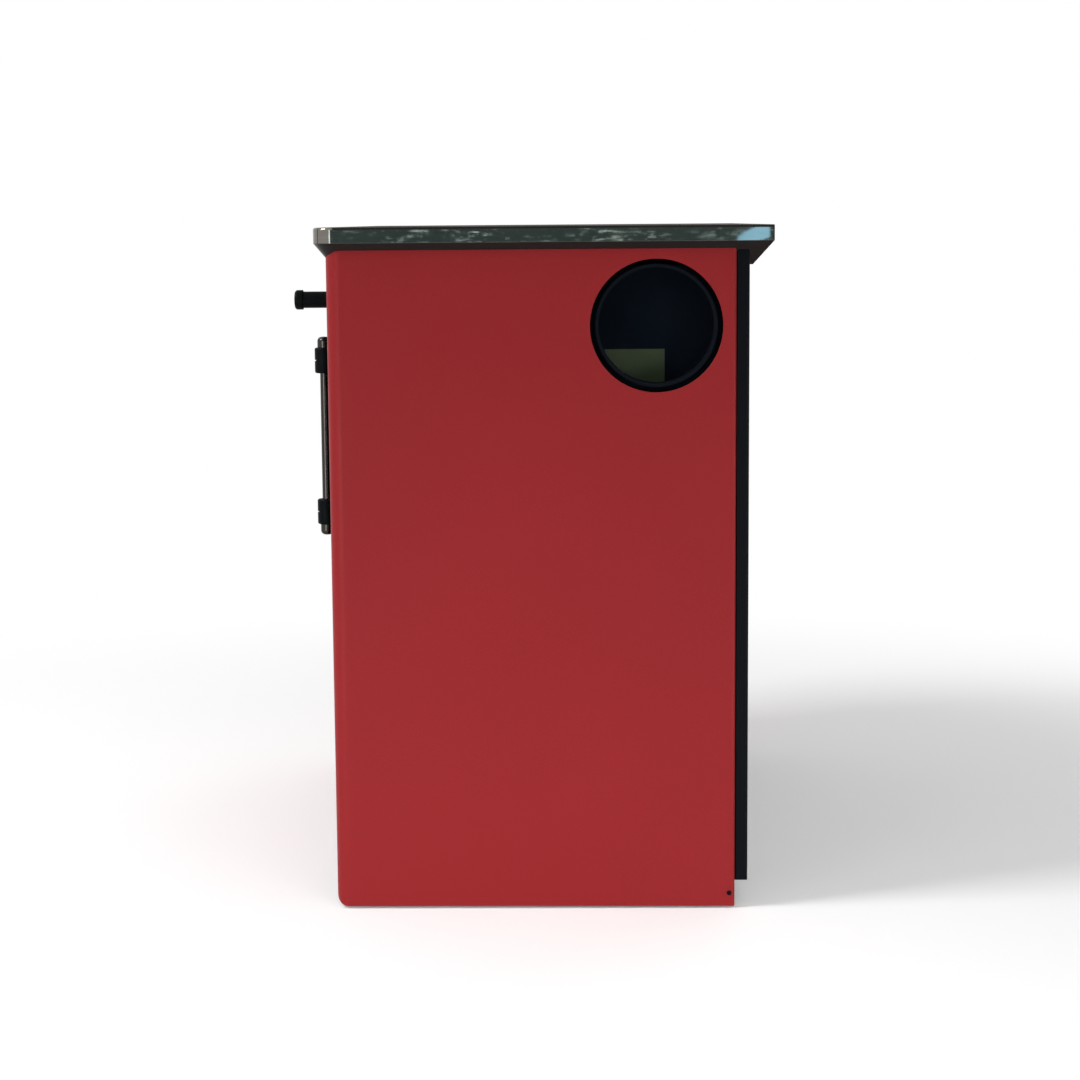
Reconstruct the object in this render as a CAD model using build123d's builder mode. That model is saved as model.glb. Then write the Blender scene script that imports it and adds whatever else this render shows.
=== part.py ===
"""Wood-burning cookstove: enamelled casing, polished top frame, firebox, oven, flue damper and drawers.

Front is -Y, the firebox is on the left (-X), the oven and the flue outlet are on the right (+X).
The origin is on the floor, under the middle of the overall box. Depths are measured back from the
front plane of the casing, and become Y through y_front.
"""

import os

from build123d import *

os.makedirs("parts", exist_ok=True)

# Overall sizes, in millimetres
stove_height = 850.0
body_width = 880.0
panel_depth = 500.0
foot_height = 3.0
foot_radius = 20.0
foot_stud_radius = 5.0
foot_stud_length = 22.0
foot_inset = 55.0

# Sheet and plate thicknesses, and clearances
sheet = 1.5
steel = 3.0
oven_sheet = 2.0
touch_gap = 0.3
running_clearance = 0.05
sliding_gap = 0.5

# Top frame
frame_side_overhang = 7.0
frame_front_overhang = 15.0
frame_rear_overhang = 45.0
frame_face = 19.0
frame_slope_run = 24.5
frame_slope_drop = 29.0
frame_corner = 26.0
frame_top_round = 3.0
frame_flange = 55.0
frame_side_flange = 52.0
frame_rear_flange = 87.0
frame_roof = 4.0
frame_leg = 5.0
frame_skirt = 1.5
seat_width = 12.0
seat_thickness = 8.0
seat_bar_width = 24.0

# Casing
corner_radius = 18.0
toe_round = 14.0
sheet_bend = 3.0
pillar_width = 38.0
fascia_recess = 10.0
fascia_lap = 1.0
under_frame_gap = 1.0
rear_flange = 20.0
rear_cover_depth = 16.0
rear_cover_bottom = 36.0
rear_cover_inset = 2.0
vent_row_rise = 80.0
vent_row_drop = 102.0
vent_slots = 12
vent_pitch = 30.0
vent_length = 60.0
vent_width = 8.0
kick_recess = 28.0
fascia_bottom = 58.0
wall_gap = 23.5
rear_gap = 17.0
spacer_size = 40.0
spacer_depths = (80.0, 250.0)
spacer_rise = 160.0
spacer_drop = 250.0

# Doors, drawers and the hatch all overlap their openings in the fascia
leaf_proud = 3.0
leaf_gap = 1.5
leaf_edge_round = 5.0
leaf_rim_round = 1.5
door_bottom = 400.0
door_drop = 77.0
door_side_gap = 21.0
firebox_door_gap = 26.0
oven_door_gap = 68.0
mouth_sill = 14.0
mouth_drop = 35.0
firebox_mouth_inset = 14.0
oven_mouth_inset = 12.0
oven_mouth_hinge_inset = 32.0
low_front_z = (286.0, 384.0)
low_mouth_inset = 12.0
mouth_round = 6.0
wood_front_z = (62.0, 272.0)
wood_mouth_inset = 14.0

# Door details
window_side_margin = 55.0
window_sill = 50.0
window_drop = 105.0
window_round = 14.0
glass_lap = 12.0
glass_thickness = 4.0
glass_slack = 0.5
gasket_width = 5.0
gasket_offset = 1.5
gasket_thickness = 1.2
pivot_inset = 6.0
pivot_depth = 2.75
pin_radius = 4.0
pin_reach = 16.0
pin_end_gap = 1.0
bracket_thickness = 4.0
bracket_width = 26.0
bracket_flange = 24.0
bracket_low_flange = 11.0
bracket_collar = 5.5
bracket_gap = 2.0
bracket_nose = 6.0
clip_width = 20.0
clip_length = 30.0
clip_thickness = 2.0
clip_round = 3.0
liner_depth = 13.0
liner_gap = 5.0

# Upright door handles
handle_x_inset = 26.0
handle_end_inset = 25.0
handle_tip = 15.0
handle_bar_radius = 6.0
handle_cap_radius = 9.0
handle_cap_gap = 0.2
handle_end_round = 6.0
handle_reach = 58.4
handle_nose_radius = 12.9
handle_leg_width = 18.0
mount_height = 35.0
mount_groove = 2.0
mount_groove_depth = 2.5
mount_round = 2.5

# Small knobs and the wood drawer's handle
small_knob_radius = 11.0
small_knob_neck = 8.0
small_knob_reach = 18.0
small_knob_round = 3.0
small_knob_offset = 118.0
hatch_plug = 8.0
hatch_gap = 0.4
drawer_bar_radius = 5.0
drawer_bar_half = 70.0
drawer_bar_reach = 34.0
drawer_bar_z = 215.0
drawer_post_radius = 6.5
drawer_post_inset = 14.0

# Thermometer in the oven door
thermometer_radius = 24.0
thermometer_rim = 3.0
thermometer_height = 5.0
thermometer_drop = 50.0
thermometer_stem_radius = 4.0
thermometer_stem_hole = 4.5
needle_length = 15.0
needle_width = 2.0
needle_thickness = 1.0

# Air spinner on the ash drawer
spinner_radius = 36.0
spinner_thickness = 4.0
spinner_hole_radius = 6.5
spinner_circle_radius = 23.0
spinner_holes = 6
spinner_knob_radius = 9.0
spinner_knob_length = 14.0
spinner_axle_radius = 4.0

# Firebox
hearth_z = 278.0
floor_z = 424.0
floor_thickness = 6.0
brick = 40.0
brick_drop = 100.0
sill_brick_height = 70.0
partition_x = -38.0
partition_thickness = 4.0
partition_drop = 90.0
grate_width = 200.0
grate_depth = 260.0
grate_thickness = 18.0
grate_lap = 10.0
grate_seat = 3.0
grate_slots = 9
grate_slot_width = 9.0
grate_rim = 14.0

# Oven and smoke passages
oven_side_lap = 4.0
oven_sill_lap = 9.0
oven_roof_lap = 7.0
oven_rear_gap = 65.0
rail_width = 8.0
rail_thickness = 4.0
rail_rises = (75.0, 175.0)
rail_margin = 20.0
rack_wire_radius = 2.5
rack_rod_radius = 2.4
rack_rods = 13
rack_slack = 3.0

# Flue outlet
flue_inset = 97.0
flue_drop = 121.0
flue_bore_radius = 70.5
flue_wall = 4.0
flue_flange_radius = 95.0
flue_flange_thickness = 6.0
flue_inner_lip = 6.0
flue_setback = 4.0
flue_relief = 1.0
flue_circle_radius = 85.0
flue_bolt_radius = 4.0
flue_bolt_head = 6.5
flue_bolt_head_height = 4.5
flue_bolts = 4
panel_hole_radius = 81.0

# Flue damper
damper_inset = 11.0
damper_drop = 89.5
damper_mouth_depth = (190.0, 300.0)
damper_mouth_height = 65.0
damper_lap = 6.0
damper_plate_thickness = 3.0
damper_travel = 115.0
damper_rod_radius = 4.0
damper_lug = 12.0
damper_lug_wall = 2.0
damper_knob_reach = 46.8
damper_knob_neck = 10.25
damper_knob_head = 12.2
damper_knob_head_length = 10.0
damper_knob_round = 3.5
damper_knob_socket = 30.0
bush_radius = 13.0
bush_thickness = 3.5
bush_round = 1.0
guide_thickness = 3.0
guide_lip = 3.0
guide_lip_overlap = 4.0

# Cooking plates and rings
hob_split_x = -30.0
ring_shift = 17.5
ring_radii = (122.0, 85.0, 49.0)
ring_rebate = 7.0
ring_step = 4.0
plate_chamfer = 1.0
lifter_slot_length = 24.0
lifter_slot_width = 9.0
lifter_slot_depth = 3.0
lifter_inset = 32.0

# Drawer boxes and rails
ash_box_rear_gap = 60.0
ash_box_floor = 300.0
ash_box_top = 366.0
wood_box_rear_gap = 50.0
wood_box_floor = 80.0
wood_box_top = 240.0
drawer_side_gap = 4.0
runner_width = 52.0
runner_height = 30.0
rail_front_gap = 27.0
rail_rear_gap = 40.0
guide_rail_width = 20.0

# How far a cutting shape runs past the face that it opens
overcut = 1.0

# Places that follow from the sizes above
frame_width = body_width + 2 * frame_side_overhang
frame_rear = panel_depth + frame_rear_overhang
y_front = -(frame_rear - handle_reach) / 2
side_x = body_width / 2
wall_outer = side_x - sheet - wall_gap
wall_inner = wall_outer - steel
back_wall = panel_depth - rear_gap - steel
fascia_back = fascia_recess + steel
fascia_half = wall_outer + fascia_lap
frame_bottom = stove_height - frame_face - frame_slope_drop
wall_top = stove_height - frame_roof - touch_gap
seat_x = frame_width / 2 - frame_side_flange
seat_front = frame_flange - frame_front_overhang
seat_back = frame_rear - frame_rear_flange
seat_z = stove_height - seat_thickness
seat_bottom = seat_z - seat_thickness
leaf_back = fascia_recess - leaf_gap
floor_top = floor_z + floor_thickness
hearth_top = hearth_z + steel
tray_top = foot_height + steel
firebox_x = (-wall_inner, partition_x)
door_edge = wall_outer - door_side_gap
door_top = frame_bottom - door_drop
door_middle_z = (door_bottom + door_top) / 2
firebox_door_x = (-door_edge, partition_x - firebox_door_gap)
oven_door_x = (partition_x + partition_thickness + oven_door_gap, door_edge)
mouth_z = (door_bottom + mouth_sill, door_top - mouth_drop)
firebox_mouth_x = (firebox_door_x[0] + firebox_mouth_inset, firebox_door_x[1] - firebox_mouth_inset)
oven_mouth_x = (oven_door_x[0] + oven_mouth_inset, oven_door_x[1] - oven_mouth_hinge_inset)
low_mouth_z = (low_front_z[0] + low_mouth_inset, low_front_z[1] - low_mouth_inset)
wood_front_half_width = door_edge
wood_mouth_z = (wood_front_z[0] + wood_mouth_inset, wood_front_z[1] - wood_mouth_inset)
wood_mouth_half = wood_front_half_width - wood_mouth_inset
window_width = firebox_door_x[1] - firebox_door_x[0] - 2 * window_side_margin
window_height = door_top - window_drop - door_bottom - window_sill
window_centre_z = door_bottom + window_sill + window_height / 2
handle_length = door_top - door_bottom - 2 * handle_end_inset
mount_spacing = handle_length - 2 * handle_tip - mount_height
thermometer_z = door_top - thermometer_drop
oven_x = (oven_mouth_x[0] - oven_side_lap, oven_mouth_x[1] + oven_side_lap)
oven_z = (mouth_z[0] - oven_sill_lap, mouth_z[1] + oven_roof_lap)
oven_rear = back_wall - oven_rear_gap
divider_x = (oven_x[1] - steel, oven_x[1])
damper_x = oven_x[1] - damper_inset
damper_z = stove_height - damper_drop
ring_centre_x = (hob_split_x - seat_x) / 2 - ring_shift
ring_depth = (seat_front + seat_back) / 2
leaf_thickness = leaf_back + leaf_proud
collar_outer = flue_bore_radius + flue_wall
flue_centre = (y_front + panel_depth - flue_inset, stove_height - flue_drop)
vent_rows = (rear_cover_bottom + vent_row_rise, frame_bottom - vent_row_drop)
spacer_heights = (spacer_rise, stove_height - spacer_drop)
brick_top = stove_height - brick_drop
partition_top = stove_height - partition_drop
ash_box_depth = back_wall - ash_box_rear_gap
wood_box_depth = back_wall - wood_box_rear_gap
rail_run = (fascia_back + rail_front_gap, back_wall - rail_rear_gap)


def y_at(depth):
    """Y of a depth measured back from the front plane."""
    return y_front + depth


def block(x, depth, z, mode=Mode.ADD):
    """A box between two X values, two depths and two heights."""
    centre = ((x[0] + x[1]) / 2, y_at((depth[0] + depth[1]) / 2), (z[0] + z[1]) / 2)
    with Locations(centre):
        Box(x[1] - x[0], depth[1] - depth[0], z[1] - z[0], mode=mode)


def front_plane(depth):
    """A plane facing the front: local x is +X, local y is +Z, and it extrudes towards the front."""
    return Plane(origin=(0, y_at(depth), 0), x_dir=(1, 0, 0), z_dir=(0, -1, 0))


def side_plane(x):
    """A plane facing +X: local x is +Y and local y is +Z."""
    return Plane.YZ.offset(x)


def middle(span):
    return (span[0] + span[1]) / 2


def width(span):
    return span[1] - span[0]


def grown(span, amount):
    """A span made longer by an amount at each end, or shorter if it is negative."""
    return (span[0] - amount, span[1] + amount)


def save(piece, name):
    """Labels a finished piece and writes it to its own file."""
    piece.part.label = name
    export_step(piece.part, f"parts/{name}.step")


def frame_outline(inset):
    """Plan of the top frame, taken in all round, with rounded front corners."""
    half = frame_width / 2 - inset
    front = y_at(inset - frame_front_overhang)
    rear = y_at(frame_rear - inset)
    with Locations((0, (front + rear) / 2)):
        plan = Rectangle(2 * half, rear - front)
    fillet(plan.vertices().group_by(Axis.Y)[0], frame_corner - inset)


def frame_envelope(clearance):
    """The outside of the top frame: an upright face over a sloping underside."""
    with BuildPart() as envelope:
        slope_top = stove_height - frame_face
        with BuildSketch(Plane.XY.offset(slope_top - clearance)):
            frame_outline(0)
        extrude(amount=frame_face + clearance)
        with BuildSketch(Plane.XY.offset(slope_top - clearance)):
            frame_outline(0)
        with BuildSketch(Plane.XY.offset(frame_bottom - clearance)):
            frame_outline(frame_slope_run)
        loft(ruled=True)
    return envelope.part


# Base tray with a kick plate, and its levelling feet
feet_places = [
    (sign * (wall_outer - foot_inset), y_at(depth))
    for sign in (-1, 1)
    for depth in (kick_recess + foot_inset, back_wall - foot_inset)
]

with BuildPart() as base_tray:
    tray_rear = back_wall + steel
    block((-wall_outer, wall_outer), (kick_recess, tray_rear), (foot_height, tray_top))
    kick_span = (kick_recess, kick_recess + steel)
    block((-wall_inner, wall_inner), kick_span, (tray_top, fascia_bottom - bracket_gap))
    with Locations(*[(x, y, tray_top) for x, y in feet_places]):
        Hole(foot_stud_radius + sliding_gap)
save(base_tray, "base_tray")

with BuildPart() as levelling_feet:
    with BuildSketch(Plane.XY):
        with Locations(*feet_places):
            Circle(foot_radius)
    extrude(amount=foot_height)
    with BuildSketch(Plane.XY.offset(foot_height)):
        with Locations(*feet_places):
            Circle(foot_stud_radius)
    extrude(amount=foot_stud_length)
save(levelling_feet, "levelling_feet")

# Side panels: one folded sheet each, with a rounded front pillar, trimmed under the sloping frame
trim_under_frame = frame_envelope(touch_gap)

with BuildPart() as right_side_panel:
    with BuildSketch(Plane.XY.offset(foot_height)):
        with BuildLine():
            FilletPolyline(
                (side_x - rear_flange, y_at(panel_depth)),
                (side_x, y_at(panel_depth)),
                (side_x, y_at(0)),
                (side_x - pillar_width, y_at(0)),
                (side_x - pillar_width, y_at(fascia_recess)),
                radius=[sheet_bend, corner_radius, sheet_bend],
            )
            offset(amount=sheet, side=Side.RIGHT)
        make_face()
    extrude(amount=stove_height - foot_height)
    add(trim_under_frame, mode=Mode.SUBTRACT)
    with BuildSketch(side_plane(side_x)):
        with Locations((y_at(toe_round / 2), foot_height + toe_round / 2)):
            Rectangle(toe_round, toe_round)
        with Locations((y_at(toe_round), foot_height + toe_round)):
            Circle(toe_round, mode=Mode.SUBTRACT)
    extrude(amount=-pillar_width, mode=Mode.SUBTRACT)
    folded_panel = right_side_panel.part
    with BuildSketch(side_plane(side_x)):
        with Locations(flue_centre):
            Circle(panel_hole_radius)
    extrude(amount=-2 * sheet, mode=Mode.SUBTRACT)
save(right_side_panel, "right_side_panel")

with BuildPart() as left_side_panel:
    mirror(folded_panel, about=Plane.YZ)
save(left_side_panel, "left_side_panel")

# Spacers that hold the casing off the hot inner walls
with BuildPart() as panel_spacers:
    for sign in (-1, 1):
        for depth in spacer_depths:
            for z in spacer_heights:
                x_span = sorted((sign * wall_outer, sign * (side_x - sheet)))
                block(x_span, grown((depth, depth), spacer_size / 4), grown((z, z), spacer_size / 2))
    for x in (-side_x / 2, side_x / 2):
        for z in spacer_heights:
            rear_span = (back_wall + steel, panel_depth + rear_cover_depth - sheet)
            block(grown((x, x), spacer_size / 4), rear_span, grown((z, z), spacer_size / 2))
save(panel_spacers, "panel_spacers")

# Front fascia, pierced for the doors, the drawers, the cleaning hatch and the damper rod
ash_mouth_x = grown(firebox_door_x, -low_mouth_inset)
hatch_mouth_x = grown(oven_door_x, -low_mouth_inset)

with BuildPart() as front_fascia:
    fascia_z = (fascia_bottom, frame_bottom - under_frame_gap)
    block((-fascia_half, fascia_half), (fascia_recess, fascia_back), fascia_z)
    with BuildSketch(front_plane(fascia_back)):
        for mouth_x, mouth_height in (
            (firebox_mouth_x, mouth_z),
            (oven_mouth_x, mouth_z),
            (ash_mouth_x, low_mouth_z),
            (hatch_mouth_x, low_mouth_z),
            ((-wood_mouth_half, wood_mouth_half), wood_mouth_z),
        ):
            with Locations((middle(mouth_x), middle(mouth_height))):
                RectangleRounded(width(mouth_x), width(mouth_height), mouth_round)
        with Locations((damper_x, damper_z)):
            Circle(damper_rod_radius + sliding_gap)
    extrude(amount=steel, mode=Mode.SUBTRACT)
save(front_fascia, "front_fascia")

# Rear cover: a shallow black tray with two rows of vent slots
with BuildPart() as rear_cover:
    cover_half = side_x - rear_cover_inset
    cover_rear = panel_depth + rear_cover_depth
    with BuildSketch(Plane.XY.offset(rear_cover_bottom)):
        with BuildLine():
            FilletPolyline(
                (-side_x + rear_flange, y_at(panel_depth)),
                (-cover_half, y_at(panel_depth)),
                (-cover_half, y_at(cover_rear)),
                (cover_half, y_at(cover_rear)),
                (cover_half, y_at(panel_depth)),
                (side_x - rear_flange, y_at(panel_depth)),
                radius=[sheet_bend, sheet_bend, sheet_bend, sheet_bend],
            )
            offset(amount=sheet, side=Side.RIGHT)
        make_face()
    extrude(amount=stove_height - rear_cover_bottom)
    add(trim_under_frame, mode=Mode.SUBTRACT)
    with BuildSketch(front_plane(cover_rear + overcut)):
        for z in vent_rows:
            with Locations((0, z)):
                with GridLocations(vent_pitch, 1, vent_slots, 1):
                    SlotOverall(vent_length, vent_width, rotation=90)
    extrude(amount=2 * sheet + overcut, mode=Mode.SUBTRACT)
save(rear_cover, "rear_cover")

# Top frame: hollow beneath, with a seat and a cross bar for the cooking plates
with BuildPart() as top_frame:
    add(frame_envelope(0))
    rim = top_frame.edges().group_by(Axis.Z)[-1].sort_by(Axis.Y)[:-1]
    fillet(rim, frame_top_round)
    leg_x = (-seat_x - frame_leg, seat_x + frame_leg)
    leg_depth = (seat_front - frame_leg, seat_back + frame_leg)
    skirt_inset = frame_slope_run + frame_skirt
    skirt_x = (-frame_width / 2 + skirt_inset, frame_width / 2 - skirt_inset)
    skirt_depth = (skirt_inset - frame_front_overhang, frame_rear - skirt_inset)
    block(skirt_x, skirt_depth, (frame_bottom - overcut, seat_bottom), mode=Mode.SUBTRACT)
    with BuildSketch(Plane.XY.offset(seat_bottom)):
        with Locations((middle(skirt_x), y_at(middle(skirt_depth)))):
            Rectangle(width(skirt_x), width(skirt_depth))
        with Locations((middle(leg_x), y_at(middle(leg_depth)))):
            Rectangle(width(leg_x), width(leg_depth), mode=Mode.SUBTRACT)
    extrude(amount=stove_height - frame_roof - seat_bottom, mode=Mode.SUBTRACT)
    block((-seat_x, seat_x), (seat_front, seat_back), (seat_z, stove_height + overcut), mode=Mode.SUBTRACT)
    for opening_x in (
        (-seat_x + seat_width, hob_split_x - seat_bar_width / 2),
        (hob_split_x + seat_bar_width / 2, seat_x - seat_width),
    ):
        opening_depth = (seat_front + seat_width, seat_back - seat_width)
        block(opening_x, opening_depth, (seat_bottom - overcut, seat_z + overcut), mode=Mode.SUBTRACT)
    with BuildSketch(side_plane(wall_outer)):
        with Locations(flue_centre):
            Circle(collar_outer + flue_relief)
    extrude(amount=wall_gap, mode=Mode.SUBTRACT)
save(top_frame, "top_frame")

# Smoke-tight inner walls, with the flue outlet through the right one
with BuildPart() as inner_left_wall:
    block((-wall_outer, -wall_inner), (fascia_back, back_wall + steel), (tray_top, wall_top))
save(inner_left_wall, "inner_left_wall")

with BuildPart() as inner_right_wall:
    block((wall_inner, wall_outer), (fascia_back, back_wall + steel), (tray_top, wall_top))
    with BuildSketch(side_plane(wall_inner)):
        with Locations(flue_centre):
            Circle(collar_outer + sliding_gap)
            with PolarLocations(flue_circle_radius, flue_bolts, start_angle=45):
                Circle(flue_bolt_radius + touch_gap)
    extrude(amount=steel, mode=Mode.SUBTRACT)
save(inner_right_wall, "inner_right_wall")

with BuildPart() as inner_back_wall:
    block((-wall_inner, wall_inner), (back_wall, back_wall + steel), (tray_top, wall_top))
save(inner_back_wall, "inner_back_wall")

with BuildPart() as hearth_plate:
    block((-wall_inner, wall_inner), (fascia_back, back_wall), (hearth_z, hearth_top))
save(hearth_plate, "hearth_plate")

# Firebox: floor with a seat for the grate, steel partition, brick lining and grate
fire_x = (firebox_x[0] + brick, firebox_x[1] - brick)
fire_depth = (fascia_back + brick, back_wall - brick)
grate_centre = (middle(fire_x), y_at(middle(fire_depth)))

with BuildPart() as firebox_floor:
    block((firebox_x[0], partition_x + partition_thickness), (fascia_back, back_wall), (floor_z, floor_top))
    with BuildSketch(Plane.XY.offset(floor_z)):
        with Locations(grate_centre):
            Rectangle(grate_width - 2 * grate_lap, grate_depth - 2 * grate_lap)
    extrude(amount=floor_thickness, mode=Mode.SUBTRACT)
    with BuildSketch(Plane.XY.offset(floor_top - grate_seat)):
        with Locations(grate_centre):
            Rectangle(grate_width, grate_depth)
    extrude(amount=grate_seat, mode=Mode.SUBTRACT)
save(firebox_floor, "firebox_floor")

with BuildPart() as firebox_partition:
    partition_span = (partition_x, partition_x + partition_thickness)
    block(partition_span, (fascia_back, back_wall), (floor_top, partition_top))
save(firebox_partition, "firebox_partition")

with BuildPart() as firebrick_left:
    block((firebox_x[0], fire_x[0]), (fascia_back, back_wall), (floor_top, brick_top))
save(firebrick_left, "firebrick_left")

with BuildPart() as firebrick_right:
    block((fire_x[1], firebox_x[1]), (fascia_back, back_wall), (floor_top, brick_top))
save(firebrick_right, "firebrick_right")

with BuildPart() as firebrick_rear:
    block(fire_x, (fire_depth[1], back_wall), (floor_top, brick_top))
save(firebrick_rear, "firebrick_rear")

with BuildPart() as firebrick_front:
    block(fire_x, (fascia_back, fire_depth[0]), (floor_top, floor_top + sill_brick_height))
save(firebrick_front, "firebrick_front")

with BuildPart() as grate:
    grate_bottom = floor_top - grate_seat
    slot_pitch = (grate_width - 2 * grate_rim) / grate_slots
    with BuildSketch(Plane.XY.offset(grate_bottom)):
        with Locations(grate_centre):
            Rectangle(grate_width - 2 * sliding_gap, grate_depth - 2 * sliding_gap)
            with GridLocations(slot_pitch, 1, grate_slots, 1):
                slot_length = grate_depth - 2 * grate_rim
                SlotOverall(slot_length, grate_slot_width, rotation=90, mode=Mode.SUBTRACT)
    extrude(amount=grate_thickness)
save(grate, "grate")

# Oven: a folded box open at the front, with pressed rails, and a wire rack
with BuildPart() as oven_box:
    oven_inner_x = grown(oven_x, -oven_sheet)
    oven_inner_z = grown(oven_z, -oven_sheet)
    oven_back = oven_rear - oven_sheet
    block(oven_x, (fascia_back, oven_rear), oven_z)
    block(oven_inner_x, (fascia_back - overcut, oven_back), oven_inner_z, mode=Mode.SUBTRACT)
    rail_levels = [oven_z[0] + rise for rise in rail_rises]
    for level in rail_levels:
        rail_span = (fascia_back + rail_margin, oven_back - rail_margin)
        block((oven_inner_x[0], oven_inner_x[0] + rail_width), rail_span, (level, level + rail_thickness))
        block((oven_inner_x[1] - rail_width, oven_inner_x[1]), rail_span, (level, level + rail_thickness))
save(oven_box, "oven_box")

with BuildPart() as oven_rack:
    rack_x = grown(oven_inner_x, -rack_slack - rack_wire_radius)
    rack_z = rail_levels[0] + rail_thickness + rack_wire_radius
    rack_depth = grown(rail_span, -rack_slack)
    rod_pitch = (width(rack_depth) - 2 * rack_wire_radius) / (rack_rods - 1)
    with BuildSketch(front_plane(rack_depth[0])):
        with Locations((rack_x[0], rack_z), (rack_x[1], rack_z)):
            Circle(rack_wire_radius)
    extrude(amount=-width(rack_depth))
    with BuildSketch(side_plane(rack_x[0])):
        with Locations((y_at(middle(rack_depth)), rack_z)):
            with GridLocations(rod_pitch, 1, rack_rods, 1):
                Circle(rack_rod_radius)
    extrude(amount=width(rack_x))
save(oven_rack, "oven_rack")

# Smoke passages: an upright divider over and behind the oven, with a bypass mouth and guides for its damper
bypass_z = grown((damper_z, damper_z), damper_mouth_height / 2)
damper_plate_z = grown(bypass_z, damper_lap)
damper_plate_depth = grown(damper_mouth_depth, damper_lap)
damper_plate_x = (divider_x[0] - touch_gap - damper_plate_thickness, divider_x[0] - touch_gap)

with BuildPart() as smoke_divider:
    block(divider_x, (fascia_back, back_wall), (oven_z[1], seat_bottom - sliding_gap))
    block(divider_x, (oven_rear, back_wall), (hearth_top, oven_z[1]))
    block(grown(divider_x, overcut), damper_mouth_depth, bypass_z, mode=Mode.SUBTRACT)
save(smoke_divider, "smoke_divider")

with BuildPart() as damper_guides:
    guide_depth = (damper_plate_depth[0] - damper_travel, damper_plate_depth[1])
    lip_x = (damper_plate_x[0] - touch_gap - guide_lip, damper_plate_x[0] - touch_gap)
    low_guide = (damper_plate_z[0] - touch_gap - guide_thickness, damper_plate_z[0] - touch_gap)
    high_guide = (damper_plate_z[1] + touch_gap, damper_plate_z[1] + touch_gap + guide_thickness)
    block((lip_x[0], divider_x[0]), guide_depth, low_guide)
    block((lip_x[0], divider_x[0]), guide_depth, high_guide)
    block(lip_x, guide_depth, (low_guide[1], low_guide[1] + guide_lip_overlap))
    block(lip_x, guide_depth, (high_guide[0] - guide_lip_overlap, high_guide[0]))
save(damper_guides, "damper_guides")

with BuildPart() as damper_bush:
    with BuildSketch(front_plane(fascia_recess)):
        with Locations((damper_x, damper_z)):
            Circle(bush_radius)
            Circle(damper_rod_radius + running_clearance, mode=Mode.SUBTRACT)
    extrude(amount=bush_thickness)
    fillet(damper_bush.edges().group_by(Axis.Y)[0].sort_by(SortBy.RADIUS)[-1], bush_round)
save(damper_bush, "damper_bush")

# Flue collar: a cast flange on the inner wall with a short socket for the pipe
with BuildPart() as flue_collar:
    with BuildSketch(side_plane(wall_outer)):
        with Locations(flue_centre):
            Circle(flue_flange_radius)
            with PolarLocations(flue_circle_radius, flue_bolts, start_angle=45):
                Circle(flue_bolt_radius + touch_gap, mode=Mode.SUBTRACT)
    extrude(amount=flue_flange_thickness)
    with BuildSketch(side_plane(wall_inner - flue_inner_lip)):
        with Locations(flue_centre):
            Circle(collar_outer)
    extrude(amount=side_x - flue_setback - wall_inner + flue_inner_lip)
    with BuildSketch(side_plane(wall_inner - flue_inner_lip)):
        with Locations(flue_centre):
            Circle(flue_bore_radius)
    extrude(amount=side_x - wall_inner + flue_inner_lip, mode=Mode.SUBTRACT)
save(flue_collar, "flue_collar")

with BuildPart() as collar_bolts:
    flange_face = wall_outer + flue_flange_thickness
    with BuildSketch(side_plane(flange_face)):
        with Locations(flue_centre):
            with PolarLocations(flue_circle_radius, flue_bolts, start_angle=45):
                RegularPolygon(flue_bolt_head, 6)
    extrude(amount=flue_bolt_head_height)
    with BuildSketch(side_plane(wall_inner - steel)):
        with Locations(flue_centre):
            with PolarLocations(flue_circle_radius, flue_bolts, start_angle=45):
                Circle(flue_bolt_radius)
    extrude(amount=flange_face - wall_inner + steel)
save(collar_bolts, "collar_bolts")

# Rails of the wood drawer on the side walls, and of the ash drawer on the hearth plate
with BuildPart() as drawer_rails:
    runner_top = wood_box_floor - touch_gap
    for sign in (-1, 1):
        shelf_x = sorted((sign * wall_inner, sign * (wall_inner - runner_width)))
        web_x = sorted((sign * wall_inner, sign * (wall_inner - steel)))
        block(shelf_x, rail_run, (runner_top - steel, runner_top))
        block(web_x, rail_run, (runner_top - runner_height, runner_top - steel))
    ash_box_x = grown(ash_mouth_x, -drawer_side_gap)
    for rail_x in (
        (ash_box_x[0], ash_box_x[0] + guide_rail_width),
        (ash_box_x[1] - guide_rail_width, ash_box_x[1]),
    ):
        block(rail_x, rail_run, (hearth_top, ash_box_floor - touch_gap))
save(drawer_rails, "drawer_rails")


def leaf_shape(x, z):
    """A door leaf or drawer front: rounded upright edges and a softened rim."""
    with BuildSketch(Plane.XY.offset(z[0])) as plan:
        with Locations((middle(x), y_at(leaf_back - leaf_thickness / 2))):
            RectangleRounded(width(x), leaf_thickness, leaf_edge_round)
    extrude(plan.sketch, amount=width(z))
    rims = edges().group_by(Axis.Z)
    fillet(rims[0] + rims[-1], leaf_rim_round)


def cut_window(x):
    """A window through a leaf, with a recess for the glass at the back."""
    with BuildSketch(front_plane(leaf_back)) as plan:
        with Locations((x, window_centre_z)):
            RectangleRounded(window_width, window_height, window_round)
    extrude(plan.sketch, amount=leaf_thickness, mode=Mode.SUBTRACT)
    with BuildSketch(front_plane(leaf_back)) as plan:
        glass_plan(x, 0)
    extrude(plan.sketch, amount=glass_thickness, mode=Mode.SUBTRACT)


def glass_plan(x, slack):
    """Outline of the glass, or of its recess."""
    glass_width = window_width + 2 * glass_lap - 2 * slack
    glass_height = window_height + 2 * glass_lap - 2 * slack
    with Locations((x, window_centre_z)):
        RectangleRounded(glass_width, glass_height, window_round + glass_lap - slack)


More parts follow.
